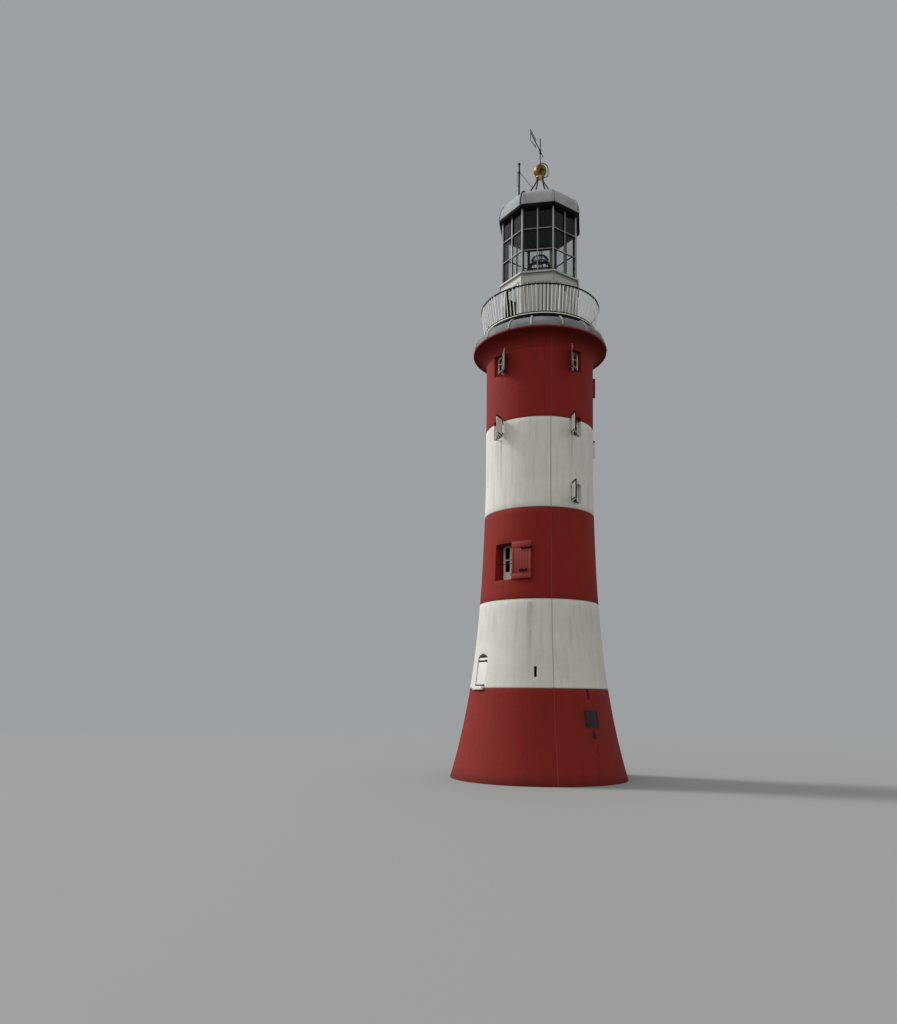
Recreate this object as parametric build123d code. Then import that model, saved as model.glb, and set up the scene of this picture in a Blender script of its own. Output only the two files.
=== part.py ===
from build123d import *
from math import atan2, cos, degrees, radians, sin, sqrt, tan
import os

# A round masonry lighthouse tower with painted bands, a corbelled gallery, an
# eight-sided glazed lantern under a faceted dome, and a weather vane.
# Millimetres. The origin is the centre of the foot on the ground, +Z is up.
# Azimuths are in degrees from the front (-Y) towards the right (+X).

# Shaft: a straight batter and a cubic flare at the foot, below a plumb upper part
shaft_radius = 2300
batter_run = 350
foot_flare_width = 1070
batter_height = 12200
room_radius = 1880

# Painted bands, from the ground up to the cornice
base_height = 3720
entrance_band = 3560
store_band = 3750
middle_band = 3730
upper_band = 2920
base_top = base_height
entrance_top = base_top + entrance_band
store_top = entrance_top + store_band
middle_top = store_top + middle_band
cornice_foot = middle_top + upper_band

# Entrance door, high in the wall, with a segmental head
entrance_azimuth = -53.5
entrance_width = 775
entrance_height = 1160
entrance_sill_height = 80
entrance_sill = base_top + entrance_sill_height
entrance_spring = entrance_sill + entrance_height
entrance_rise = 160
entrance_door_setback = 70
entrance_door_thickness = 55
step_height = 150
step_depth = 90

# Store opening, with an inner half-glazed pair of doors and one outer leaf
store_azimuth = -33.3
store_opening_width = 845
store_opening_height = 1500
store_sill_height = 820
store_sill = entrance_top + store_sill_height
store_head = store_sill + store_opening_height
store_door_thickness = 45
store_door_inset = 55
store_stile = 88
store_top_rail = 80
store_panel_height = 420
store_glazing_bar = 40
store_leaf_thickness = 50
store_leaf_opening = 192
safety_bar_radius = 16
safety_bar_height = 690
safety_bar_setback = 220

# Windows: four to a storey on the diagonals, two in the lower room
window_width = 540
window_height = 800
top_window_height = 880
window_azimuths = (-45, 45, 135, -135)
lower_window_azimuths = (45, -135)
lower_sill_height = 250
upper_sill_drop = 680
lower_window_sill = store_top + lower_sill_height
upper_window_sill = middle_top - upper_sill_drop
top_window_sill = cornice_foot - top_window_height
frame_setback = 200
frame_bar = 45
frame_depth = 60
glazing_bar = 25
window_rows = 3
glass_thickness = 6

# Board shutters, hung on the jamb nearer the front of the tower
shutter_thickness = 40
shutter_opening = 117
top_shutter_openings = {-45: 148, 45: 131, 135: 135, -135: 135}
hinge_knuckle = 28
hinge_lug = 84
hinge_height = 60
hinge_inset = 150

# Light slits
slit_width = 110
slit_height = 420
front_slit_azimuth = 1
front_slit_height = 430
front_slit_sill = base_top + front_slit_height
side_slit_azimuth = 45

# Storey floors: the walking surface of each room
floor_thickness = 200
room_levels = (
    floor_thickness,
    entrance_sill - 20,
    store_sill - 100,
    lower_window_sill - 720,
    upper_window_sill - 780,
    top_window_sill - 750,
)

# Gallery: cove, sloping coping and railing
cove_height = 550
rim_radius = 2880
rim_thickness = 70
coping_height = 560
coping_width = 440
coping_shoulder_width = 120
coping_shoulder_height = 308
coping_flat_radius = rim_radius - coping_width
coping_shoulder_radius = rim_radius - coping_shoulder_width
rim_low = cornice_foot + cove_height
rim_high = rim_low + rim_thickness
gallery_level = rim_high + coping_height
railing_bays = 16
balusters_per_bay = 5
post_width = 40
baluster_width = 24
rail_tenon = 15
rail_foot_inset = 70
rail_lean_width = 175
rail_foot_radius = coping_flat_radius - rail_foot_inset
rail_top_radius = rail_foot_radius + rail_lean_width
foot_ring_gap = 140
foot_ring_height = 100
foot_ring_width = 80
foot_ring_low = gallery_level + foot_ring_gap
foot_ring_high = foot_ring_low + foot_ring_height
rail_height = 1300
top_rail_height = 55
top_rail_width = 60
top_rail_low = gallery_level + rail_height
top_rail_high = top_rail_low + top_rail_height

# Lantern: eight sides, sizes given as the radius to the corners
side_count = 8
lantern_wall_radius = 1750
lantern_wall_inner_radius = 1600
lantern_wall_height = 2190
gallery_door_azimuth = -45
gallery_door_width = 780
gallery_door_height = 1960
gallery_door_thickness = 45
gallery_door_opening = 30
sill_radius = 1800
sill_height = 240
sill_nose = 110
sill_step = 30
glazing_height = 2760
lantern_post_radius = 1700
lantern_post_width = 56
mullion_width = 42
mullion_depth = 60
transom_height = 28
glass_rows = 3
lantern_glass_thickness = 8
eaves_radius = 1870
eaves_height = 130
ceiling_thickness = 30
sill_low = gallery_level + lantern_wall_height
sill_high = sill_low + sill_height
eaves_low = sill_high + glazing_height
eaves_high = eaves_low + eaves_height

# Dome: an eight-sided cloister vault; shoulders given as shares of its run and rise
dome_rise = 1010
crown_flat_share = 0.34
dome_shoulder_shares = ((0.982, 0.22), (0.955, 0.44), (0.90, 0.64), (0.80, 0.80), (0.66, 0.925), (0.5, 0.985))
crown_level = eaves_high + dome_rise

# Vane stand: legs of ogee outline, as (radius, height over the crown), and a collar
leg_count = 4
leg_radius = 27
leg_curve = ((620, -40), (440, 590), (300, 810), (200, 1010), (165, 1210))
collar_height = 70
collar_radius = 185
collar_edge_round = 15
collar_low = crown_level + leg_curve[-1][1]
collar_high = collar_low + collar_height

# Ball and spindle; the ball sits in the collar
ball_radius = 282
ball_seat_radius = 110
ball_level = collar_high + sqrt(ball_radius**2 - ball_seat_radius**2)
spindle_radius = 24
spindle_height = 1520
spindle_top = ball_level + spindle_height
ferrule_radius = 45
ferrule_height = 70

# Vane, which turns on the spindle: the tail lies left of the front at rest
vane_height = 950
vane_level = ball_level + vane_height
vane_azimuth = -15
hub_radius = 46
hub_height = 130
hub_clearance = 0.3
shoulder_radius = 42
shoulder_height = 60
vane_rod_radius = 17
vane_tail_length = 1320
vane_head_length = 330
pointer_length = 150
pointer_width = 100
vane_plate = 10
banner_length = 750
banner_drop_start = 250
banner_drop_end = 390
banner_rise_start = 150
banner_rise_end = 140
banner_border = 45
banner_rod_border = 30

# Conductor loop round the ball, from the spindle to the collar
loop_rod_radius = 12
loop_radius = 350
loop_height = 380
loop_top = ball_level + loop_height
loop_low_bend = 120

# Pole on the dome, with its aerial and stay
pole_offset = 930
pole_radius = 38
pole_height = 2990
pole_top = eaves_high + pole_height
pole_knob_radius = 62
pole_collar_drop = 380
pole_collar_level = pole_top - pole_collar_drop
pole_collar_radius = 55
pole_collar_height = 90
aerial_offset = 90
aerial_length = 640
aerial_radius = 9
stay_radius = 9
stay_foot_radius, stay_foot_height = leg_curve[1]

# Candle rings in the lantern, as (radius, height over the glazing's foot)
candle_rings_sizes = ((340, 1360), (430, 990))
candle_ring_tube = 14
candle_rod_radius = 14
candle_arm_pairs = 2

os.makedirs("parts", exist_ok=True)


def outer_radius(z):
    """Radius of the shaft's face at a height."""
    share = max(0.0, 1 - z / batter_height)
    return shaft_radius + batter_run * share + foot_flare_width * share**3


def at_azimuth(azimuth):
    """Turns what is modelled at the front (-Y) to its azimuth."""
    return Rot(0, 0, azimuth)


def block(width, depth, height):
    """A box standing on z = 0, centred in x, reaching from y = 0 towards -Y."""
    return Box(width, depth, height, align=(Align.CENTER, Align.MAX, Align.MIN))


def save(node, shape):
    export_step(shape, f"parts/{node}.step")
    print(node, f"{shape.volume / 1e9:.4f} m3", "solids", len(shape.solids()))


def turned(outline):
    """Revolves closed edges that lie in the XZ plane."""
    return revolve(make_face(outline), Axis.Z)


def turned_polygon(points):
    """Revolves a polygon given as (radius, height) points."""
    corners = [(r, 0, z) for r, z in points]
    return turned(Polyline(*corners, close=True))


def band_ring(low, high):
    """One band of the shaft wall, between two heights."""
    curve_end = min(high, batter_height)
    steps = 4
    outline = []
    if low < batter_height:
        levels = [low + (curve_end - low) * i / steps for i in range(steps + 1)]
        outline.append(Spline(*[(outer_radius(z), 0, z) for z in levels]))
    if high > batter_height:
        plumb_start = max(low, batter_height)
        outline.append(Line((shaft_radius, 0, plumb_start), (shaft_radius, 0, high)))
    rest = [(outer_radius(high), high), (room_radius, high), (room_radius, low), (outer_radius(low), low)]
    outline.append(Polyline(*[(r, 0, z) for r, z in rest]))
    return turned(outline)


def bay(azimuth, width, low, high):
    """The slice of wall of one opening's width, from the axis outwards."""
    reach = outer_radius(0) + rim_radius
    return at_azimuth(azimuth) * Pos(0, 0, low) * block(width, reach, high - low)


def split_wall(low, high, bays):
    """One band of wall as its piers, and the sills and heads between them.

    Each bay is (azimuth, width, [(fill low, fill high), ...]).
    """
    ring = band_ring(low, high)
    cutters = [bay(azimuth, width, low - 1, high + 1) for azimuth, width, _ in bays]
    piers = ring - cutters
    fills = []
    for azimuth, width, ranges in bays:
        for fill_low, fill_high in ranges:
            fills.append(ring & bay(azimuth, width, fill_low, fill_high))
    return piers, fills


def group(shapes):
    """Puts separate solids into one compound."""
    solids = []
    for shape in shapes:
        solids.extend(shape.solids())
    return Compound(solids)


def octagon(radius, low, high):
    """An eight-sided prism with a flat side to the front."""
    sketch = RegularPolygon(radius, side_count, rotation=180 / side_count)
    return Pos(0, 0, low) * extrude(sketch, high - low)


def side_distance(radius):
    """Distance from the axis to the middle of an octagon's side."""
    return radius * cos(radians(180 / side_count))


# Shaft walls

def base_wall():
    ring = band_ring(0, base_top)
    slit = bay(side_slit_azimuth, slit_width, base_top - slit_height, base_top + 1)
    return ring - slit


def entrance_head():
    """Masonry over the entrance door, arched underneath."""
    ring = band_ring(base_top, entrance_top)
    over = ring & bay(entrance_azimuth, entrance_width, entrance_spring, entrance_top)
    half = entrance_width / 2
    radius = (half**2 + entrance_rise**2) / (2 * entrance_rise)
    centre = entrance_spring + entrance_rise - radius
    reach = 2 * outer_radius(0)
    arch = Pos(0, 0, centre) * Rot(90, 0, 0) * Cylinder(radius, reach)
    return over - at_azimuth(entrance_azimuth) * arch


def entrance_walls():
    door = (entrance_azimuth, entrance_width, [(base_top, entrance_sill)])
    slit_fills = [(base_top, front_slit_sill), (front_slit_sill + slit_height, entrance_top)]
    slit = (front_slit_azimuth, slit_width, slit_fills)
    piers, fills = split_wall(base_top, entrance_top, [door, slit])
    return piers, fills + [entrance_head()]


def store_walls():
    fills = [(entrance_top, store_sill), (store_head, store_top)]
    opening = (store_azimuth, store_opening_width, fills)
    return split_wall(entrance_top, store_top, [opening])


def middle_walls():
    bays = []
    for azimuth in window_azimuths:
        if azimuth in lower_window_azimuths:
            lower_head = lower_window_sill + window_height
            fills = [(store_top, lower_window_sill), (lower_head, upper_window_sill)]
        else:
            fills = [(store_top, upper_window_sill)]
        bays.append((azimuth, window_width, fills))
    return split_wall(store_top, middle_top, bays)


def upper_walls():
    upper_head = upper_window_sill + window_height
    fills = [(upper_head, top_window_sill)]
    bays = [(azimuth, window_width, fills) for azimuth in window_azimuths]
    return split_wall(middle_top, cornice_foot, bays)


def cornice():
    """The cove under the gallery: a quarter curve out to the rim."""
    cove_run = rim_radius - shaft_radius
    quarter = sqrt(0.5)
    middle = (rim_radius - cove_run * quarter, cornice_foot + cove_height * quarter)
    outline = [
        Spline(
            (shaft_radius, 0, cornice_foot),
            (middle[0], 0, middle[1]),
            (rim_radius, 0, rim_low),
            tangents=[(0, 0, 1), (1, 0, 0)],
        ),
        Polyline(
            (rim_radius, 0, rim_low),
            (rim_radius, 0, rim_high),
            (room_radius, 0, rim_high),
            (room_radius, 0, cornice_foot),
            (shaft_radius, 0, cornice_foot),
        ),
    ]
    return turned(outline)


def coping():
    """The sloping ring on the cornice, convex towards the rim."""
    outline = [
        Spline(
            (rim_radius, 0, rim_high),
            (coping_shoulder_radius, 0, rim_high + coping_shoulder_height),
            (coping_flat_radius, 0, gallery_level),
        ),
        Polyline(
            (coping_flat_radius, 0, gallery_level),
            (room_radius, 0, gallery_level),
            (room_radius, 0, rim_high),
            (rim_radius, 0, rim_high),
        ),
    ]
    return turned(outline)


def floor_disc(level):
    low = level - floor_thickness
    return Pos(0, 0, low) * Cylinder(
        room_radius, floor_thickness, align=(Align.CENTER, Align.CENTER, Align.MIN)
    )


# Windows and shutters, modelled at the front and turned to their azimuths

def window_frame(sill, height):
    plane = shaft_radius - frame_setback
    outer = Pos(0, -plane + frame_depth, sill) * block(window_width, frame_depth, height)
    inner_width = window_width - 2 * frame_bar
    inner_height = height - 2 * frame_bar
    cutter = Pos(0, -plane + 2 * frame_depth, sill + frame_bar) * block(
        inner_width, 3 * frame_depth, inner_height
    )
    upright = Pos(0, -plane + frame_depth, sill) * block(glazing_bar, frame_depth, height)
    frame = outer - cutter + upright
    for row in range(1, window_rows):
        level = sill + height * row / window_rows - glazing_bar / 2
        frame += Pos(0, -plane + frame_depth, level) * block(window_width, frame_depth, glazing_bar)
    return frame


def window_pane(sill, height):
    plane = shaft_radius - frame_setback - frame_depth
    return Pos(0, -plane + glass_thickness, sill) * block(window_width, glass_thickness, height)


def hinge_side(azimuth):
    """-1 where the leaf hangs on the left jamb, 1 on the right: the one nearer the front."""
    return -1 if azimuth > 0 else 1


def hung_leaf(side, width, thickness, height):
    """A leaf that starts at its knuckle, closed across the opening; the hinge line is Z."""
    start = Align.MAX if side > 0 else Align.MIN
    leaf = Box(width, thickness, height, align=(start, Align.CENTER, Align.MIN))
    return Pos(-side * hinge_knuckle, 0, 0) * leaf


def hinge(height):
    """A pintle's knuckle with the lug that holds it in the wall behind it."""
    knuckle = Cylinder(hinge_knuckle, height, align=(Align.CENTER, Align.CENTER, Align.MIN))
    lug = Pos(0, hinge_lug, 0) * block(hinge_knuckle, hinge_lug, height)
    return knuckle + lug


def hinge_line(side, width, sill):
    """Place of a leaf's hinge line beside the opening, just off the wall's face."""
    x = width / 2 + hinge_knuckle
    return (side * x, -sqrt(outer_radius(sill) ** 2 - x**2) - hinge_knuckle, sill)


def shutter(azimuth, sill, height, opening):
    """One board leaf, swung out about its hinge line at the jamb."""
    side = hinge_side(azimuth)
    leaf = hung_leaf(side, window_width, shutter_thickness, height)
    place = hinge_line(side, window_width, sill)
    return at_azimuth(azimuth) * Pos(*place) * Rot(0, 0, side * opening) * leaf


def shutter_hinges(azimuth, sill, height):
    """The two pintles of one leaf."""
    x, y, _ = hinge_line(hinge_side(azimuth), window_width, sill)
    hinges = []
    for level in (hinge_inset, height - hinge_inset - hinge_height):
        hinges.append(at_azimuth(azimuth) * Pos(x, y, sill + level) * hinge(hinge_height))
    return hinges


def window_set():
    """(azimuth, sill, height, shutter opening) of every window."""
    windows = []
    for azimuth in lower_window_azimuths:
        windows.append((azimuth, lower_window_sill, window_height, shutter_opening))
    for azimuth in window_azimuths:
        windows.append((azimuth, upper_window_sill, window_height, shutter_opening))
        top_opening = top_shutter_openings[azimuth]
        windows.append((azimuth, top_window_sill, top_window_height, top_opening))
    return windows


# Store opening

def store_doors():
    """A pair of half-glazed doors at the inner face of the wall."""
    plane = room_radius - store_door_inset
    height = store_opening_height
    half = store_opening_width / 2
    doors = Pos(0, -plane, store_sill) * block(store_opening_width, store_door_thickness, height)
    pane_height = (height - store_panel_height - store_top_rail - store_glazing_bar) / 2
    pane_width = half - 2 * store_stile
    for side in (-1, 1):
        for row in range(2):
            low = store_sill + store_panel_height + row * (pane_height + store_glazing_bar)
            pane = block(pane_width, 3 * store_door_thickness, pane_height)
            doors -= Pos(side * half / 2, -plane + store_door_thickness, low) * pane
    return at_azimuth(store_azimuth) * doors


def store_door_glass():
    plane = room_radius - store_door_inset
    low = store_sill + store_panel_height - store_glazing_bar
    sheet = Pos(0, -plane + glass_thickness, low) * block(
        store_opening_width, glass_thickness, store_head - low
    )
    return at_azimuth(store_azimuth) * sheet


def store_leaf():
    """The outer leaf, hung on the right jamb and folded back against the wall."""
    leaf = hung_leaf(1, store_opening_width, store_leaf_thickness, store_opening_height)
    place = hinge_line(1, store_opening_width, store_sill)
    return at_azimuth(store_azimuth) * Pos(*place) * Rot(0, 0, store_leaf_opening) * leaf


def store_leaf_hinges():
    """Three pintles on the right jamb."""
    x, y, _ = hinge_line(1, store_opening_width, store_sill)
    height = store_opening_height
    hinges = []
    for level in (hinge_inset, height / 2, height - hinge_inset - hinge_height):
        place = Pos(x, y, store_sill + level)
        hinges.append(at_azimuth(store_azimuth) * place * hinge(hinge_height))
    return hinges


def safety_bar():
    level = store_sill + safety_bar_height
    plane = outer_radius(level) - safety_bar_setback
    bar = Pos(0, -plane, level) * Rot(0, 90, 0) * Cylinder(
        safety_bar_radius, store_opening_width
    )
    return at_azimuth(store_azimuth) * bar


# Entrance door

def entrance_door():
    """A plank door that leans with the wall and stops at the arch's spring, leaving the head open."""
    foot = outer_radius(entrance_sill) - entrance_door_setback
    head = outer_radius(entrance_spring) - entrance_door_setback
    side = [
        (0, -foot, entrance_sill),
        (0, -head, entrance_spring),
        (0, -head + entrance_door_thickness, entrance_spring),
        (0, -foot + entrance_door_thickness, entrance_sill),
    ]
    leaf = extrude(make_face(Polyline(*side, close=True)), amount=entrance_width / 2, both=True)
    return at_azimuth(entrance_azimuth) * leaf


def entrance_step():
    radius = outer_radius(base_top)
    inner = radius - 2 * step_depth
    step = Pos(0, -inner, entrance_sill - step_height) * block(
        entrance_width, radius + step_depth - inner, step_height
    )
    step = at_azimuth(entrance_azimuth) * step
    return step - band_ring(0, base_top) - band_ring(base_top, entrance_top)


# Gallery railing

def railing_lean():
    run = rail_top_radius - rail_foot_radius
    rise = top_rail_low - foot_ring_high
    return degrees(atan2(run, rise))


def leaning_bar(width, low, high):
    """A square bar at the front that leans outwards with the railing."""
    lean = railing_lean()
    radius = rail_foot_radius + (low - foot_ring_high) * tan(radians(lean))
    length = (high - low) / cos(radians(lean))
    bar = Box(width, width, length, align=(Align.CENTER, Align.CENTER, Align.MIN))
    return Pos(0, -radius, low) * Rot(lean, 0, 0) * bar


def railing_posts():
    step = 360 / railing_bays
    overshoot = post_width
    post = leaning_bar(post_width, gallery_level - overshoot, top_rail_high + overshoot)
    keep = Pos(0, 0, gallery_level) * Cylinder(
        2 * rim_radius, top_rail_high - gallery_level, align=(Align.CENTER, Align.CENTER, Align.MIN)
    )
    post = post & keep
    return [at_azimuth(i * step) * post for i in range(railing_bays)]


def rail_ring(radius, width, low, high):
    inner = radius - width / 2
    outer = radius + width / 2
    return turned_polygon([(inner, low), (outer, low), (outer, high), (inner, high)])


def railing_panels():
    """Foot ring, top rail and balusters, parted at the posts."""
    rings = rail_ring(rail_foot_radius, foot_ring_width, foot_ring_low, foot_ring_high)
    rings += rail_ring(rail_top_radius, top_rail_width, top_rail_low, top_rail_high)
    step = 360 / railing_bays
    pitch = step / (balusters_per_bay + 1)
    bar = leaning_bar(baluster_width, foot_ring_high - rail_tenon, top_rail_low + rail_tenon)
    slots = []
    bars = []
    for i in range(railing_bays):
        slot = Pos(0, 0, gallery_level) * block(post_width, rim_radius, 2 * top_rail_high)
        slots.append(at_azimuth(i * step) * slot)
        for j in range(1, balusters_per_bay + 1):
            bars.append(at_azimuth(i * step + j * pitch) * bar)
    return rings + bars - slots


# Lantern

def lantern_wall():
    wall = octagon(lantern_wall_radius, gallery_level, sill_low)
    wall -= octagon(lantern_wall_inner_radius, gallery_level, sill_low)
    doorway = Pos(0, 0, gallery_level) * block(gallery_door_width, sill_radius, gallery_door_height)
    return wall - at_azimuth(gallery_door_azimuth) * doorway


def gallery_door():
    """The door's leaf, hung on the right jamb and standing ajar into the lantern."""
    leaf = Rot(0, 0, -gallery_door_opening) * Box(
        gallery_door_width - gallery_door_thickness,
        gallery_door_thickness,
        gallery_door_height,
        align=(Align.MAX, Align.MAX, Align.MIN),
    )
    hinge_line = (gallery_door_width / 2, -side_distance(lantern_wall_inner_radius), gallery_level)
    return at_azimuth(gallery_door_azimuth) * Pos(*hinge_line) * leaf


def lantern_sill():
    """An octagonal moulding: a nosing over a set-back bed."""
    nose = octagon(sill_radius, sill_high - sill_nose, sill_high)
    bed = octagon(sill_radius - sill_step, sill_low, sill_high - sill_nose)
    return nose + bed - octagon(lantern_wall_inner_radius, sill_low, sill_high)


def lantern_posts():
    post = Pos(0, -lantern_post_radius, sill_high) * Box(
        lantern_post_width, lantern_post_width, glazing_height,
        align=(Align.CENTER, Align.CENTER, Align.MIN),
    )
    turn = 360 / side_count
    return [at_azimuth((i + 0.5) * turn) * post for i in range(side_count)]


def round_the_lantern(shape):
    """Repeats what stands in the front side on all sides, cut off at the posts."""
    posts = lantern_posts()
    return [at_azimuth(i * 360 / side_count) * shape - posts for i in range(side_count)]


def side_width(distance):
    """Width of an octagon's side that lies at a distance from the axis."""
    return 2 * distance * tan(radians(180 / side_count))


def lantern_glazing_bars():
    """One mullion and the transoms of each side."""
    face = side_distance(lantern_post_radius) + mullion_depth / 2
    back = face - mullion_depth
    bars = Pos(0, -back, sill_high) * block(mullion_width, mullion_depth, glazing_height)
    for i in range(1, glass_rows):
        level = sill_high + i * glazing_height / glass_rows - transom_height / 2
        bars += Pos(0, -back, level) * block(side_width(back), mullion_depth, transom_height)
    return round_the_lantern(bars)


def lantern_panes():
    """A sheet of glass behind the bars of each side."""
    face = side_distance(lantern_post_radius) - mullion_depth / 2
    back = face - lantern_glass_thickness
    sheet = block(side_width(back), lantern_glass_thickness, glazing_height)
    return round_the_lantern(Pos(0, -back, sill_high) * sheet)


def lantern_eaves():
    ring = octagon(eaves_radius, eaves_low, eaves_high)
    return ring - octagon(lantern_wall_inner_radius, eaves_low, eaves_high)


def lantern_ceiling():
    return octagon(lantern_wall_inner_radius, eaves_high - ceiling_thickness, eaves_high)


def dome_profile():
    """Half outline of the vault as (run, rise) points, from the eaves to the crown flat."""
    run = side_distance(eaves_radius)
    points = [(run, 0)]
    points += [(run * across, dome_rise * up) for across, up in dome_shoulder_shares]
    points.append((run * crown_flat_share, dome_rise))
    return points


def dome():
    """Four crossing vaults leave an eight-sided dome with curved hips."""
    points = [(x, 0, eaves_high + z) for x, z in dome_profile()]
    mirrored = [(-x, y, z) for x, y, z in reversed(points)]
    outline = [
        Line(mirrored[-1], points[0]),
        Spline(*points),
        Line(points[-1], mirrored[0]),
        Spline(*mirrored),
    ]
    vault = extrude(make_face(outline), amount=eaves_radius, both=True)
    roof = vault
    for i in range(1, side_count // 2):
        roof = roof & (Rot(0, 0, i * 360 / side_count) * vault)
    return roof


# Vane stand, ball, spindle and conductor

def stand_legs():
    """Ogee legs from the dome's crown up to the collar."""
    path = Spline(*[(0, -radius, crown_level + height) for radius, height in leg_curve])
    section = Plane(origin=path @ 0, z_dir=path % 0) * Circle(leg_radius)
    top = Pos(0, -leg_curve[-1][0], collar_low) * Cylinder(
        2 * leg_radius, collar_height, align=(Align.CENTER, Align.CENTER, Align.MIN)
    )
    leg = sweep(section, path) - dome() - top
    return [at_azimuth(45 + i * 360 / leg_count) * leg for i in range(leg_count)]


def ball():
    return Pos(0, 0, ball_level) * Sphere(ball_radius)


def stand_collar():
    ring = Pos(0, 0, collar_low) * Cylinder(
        collar_radius, collar_height, align=(Align.CENTER, Align.CENTER, Align.MIN)
    )
    return fillet(ring.edges(), collar_edge_round) - ball()


def spindle():
    """The fixed rod, with a ferrule on the ball and a shoulder under the vane."""
    foot = ball_level
    rod = Pos(0, 0, foot) * Cylinder(
        spindle_radius, spindle_top - foot, align=(Align.CENTER, Align.CENTER, Align.MIN)
    )
    ferrule = Pos(0, 0, foot) * Cone(
        ferrule_radius, spindle_radius, ball_radius + ferrule_height,
        align=(Align.CENTER, Align.CENTER, Align.MIN),
    )
    shoulder_top = vane_level - hub_height / 2 - hub_clearance
    shoulder = Pos(0, 0, shoulder_top - shoulder_height) * Cylinder(
        shoulder_radius, shoulder_height, align=(Align.CENTER, Align.CENTER, Align.MIN)
    )
    return rod + ferrule + shoulder - ball()


def vane_arrow():
    """Hub, rod and pointer; the tail is at the front before it is turned."""
    hub = Pos(0, 0, vane_level) * Cylinder(hub_radius, hub_height)
    head_end = vane_head_length + pointer_length / 2
    rod = Pos(0, (head_end - vane_tail_length) / 2, vane_level) * Rot(90, 0, 0) * Cylinder(
        vane_rod_radius, head_end + vane_tail_length
    )
    half = pointer_width / 2
    head = [
        (0, vane_head_length, vane_level - half),
        (0, vane_head_length + pointer_length, vane_level),
        (0, vane_head_length, vane_level + half),
    ]
    pointer = extrude(make_face(Polyline(*head, close=True)), amount=vane_plate / 2, both=True)
    bore = Pos(0, 0, vane_level) * Cylinder(spindle_radius + hub_clearance, 2 * hub_height)
    return at_azimuth(vane_azimuth) * (hub + rod + pointer - bore)


def banner_plate(side, border, rod_border, thickness):
    """The banner's part above (1) or below (-1) the rod, less its borders."""
    if side > 0:
        start, end = banner_rise_start, banner_rise_end
    else:
        start, end = banner_drop_start, banner_drop_end
    near = vane_tail_length - banner_length + border
    far = vane_tail_length - border
    corners = [
        (0, -near, vane_level + side * (start - border)),
        (0, -far, vane_level + side * (end - border)),
        (0, -far, vane_level + side * rod_border),
        (0, -near, vane_level + side * rod_border),
    ]
    plate = make_face(Polyline(*corners, close=True))
    return extrude(plate, amount=thickness / 2, both=True)


def vane_banner():
    """A tapered banner on the rod's tail, pierced by one slot above the rod and one below."""
    rod = Pos(0, 0, vane_level) * Rot(90, 0, 0) * Cylinder(vane_rod_radius, 3 * vane_tail_length)
    halves = []
    for side in (1, -1):
        plate = banner_plate(side, 0, 0, vane_plate)
        rod_border = vane_rod_radius + banner_rod_border
        slot = banner_plate(side, banner_border, rod_border, 3 * vane_plate)
        halves.append(at_azimuth(vane_azimuth) * (plate - slot - rod))
    return halves


def conductor_loop():
    """A rod that leaves the spindle, rounds the ball and ends on the collar."""
    low = (collar_low + collar_high) / 2
    path = FilletPolyline(
        (spindle_radius, 0, loop_top),
        (loop_radius, 0, loop_top),
        (loop_radius, 0, low),
        (collar_radius, 0, low),
        radius=(loop_radius - spindle_radius - loop_rod_radius, loop_low_bend),
    )
    section = Plane(origin=path @ 0, z_dir=path % 0) * Circle(loop_rod_radius)
    return sweep(section, path)


# Pole on the dome

def signal_pole():
    roof = dome()
    foot = eaves_high
    pole = Pos(-pole_offset, 0, foot) * Cylinder(
        pole_radius, pole_top - foot, align=(Align.CENTER, Align.CENTER, Align.MIN)
    )
    knob = Pos(-pole_offset, 0, pole_top) * Sphere(pole_knob_radius)
    collar = Pos(-pole_offset, 0, pole_collar_level) * Cylinder(pole_collar_radius, pole_collar_height)
    middle = pole_collar_level - aerial_length / 2
    aerial = Pos(-pole_offset - aerial_offset, 0, middle) * Cylinder(aerial_radius, aerial_length)
    arm = Box(aerial_offset + 2 * aerial_radius, 2 * aerial_radius, 2 * aerial_radius)
    arm = Pos(-pole_offset - aerial_offset / 2, 0, 0) * arm
    arms = [Pos(0, 0, level) * arm for level in (pole_collar_level, pole_collar_level - aerial_length)]
    return pole + knob + collar + aerial + arms - roof


def pole_stay():
    """A thin rod from the pole's collar to the nearest leg of the vane's stand."""
    head = (-pole_offset + pole_radius / 2, 0, pole_collar_level)
    across = stay_foot_radius * sqrt(0.5)
    foot = (-across, -across, crown_level + stay_foot_height)
    path = Line(head, foot)
    section = Plane(origin=head, z_dir=path % 0) * Circle(stay_radius)
    return sweep(section, path) - signal_pole() - stand_legs()


# Candle rings

def candle_rings():
    """Two rings with cross arms on a rod from the ceiling."""
    top = eaves_high - ceiling_thickness
    low = sill_high + min(height for _, height in candle_rings_sizes)
    rings = Pos(0, 0, low) * Cylinder(
        candle_rod_radius, top - low, align=(Align.CENTER, Align.CENTER, Align.MIN)
    )
    for radius, height in candle_rings_sizes:
        level = Pos(0, 0, sill_high + height)
        rings += level * Torus(radius, candle_ring_tube)
        for i in range(candle_arm_pairs):
            arm = Box(2 * radius, candle_ring_tube, candle_ring_tube)
            rings += level * Rot(0, 0, 180 * i / candle_arm_pairs) * arm
    return rings


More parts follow.
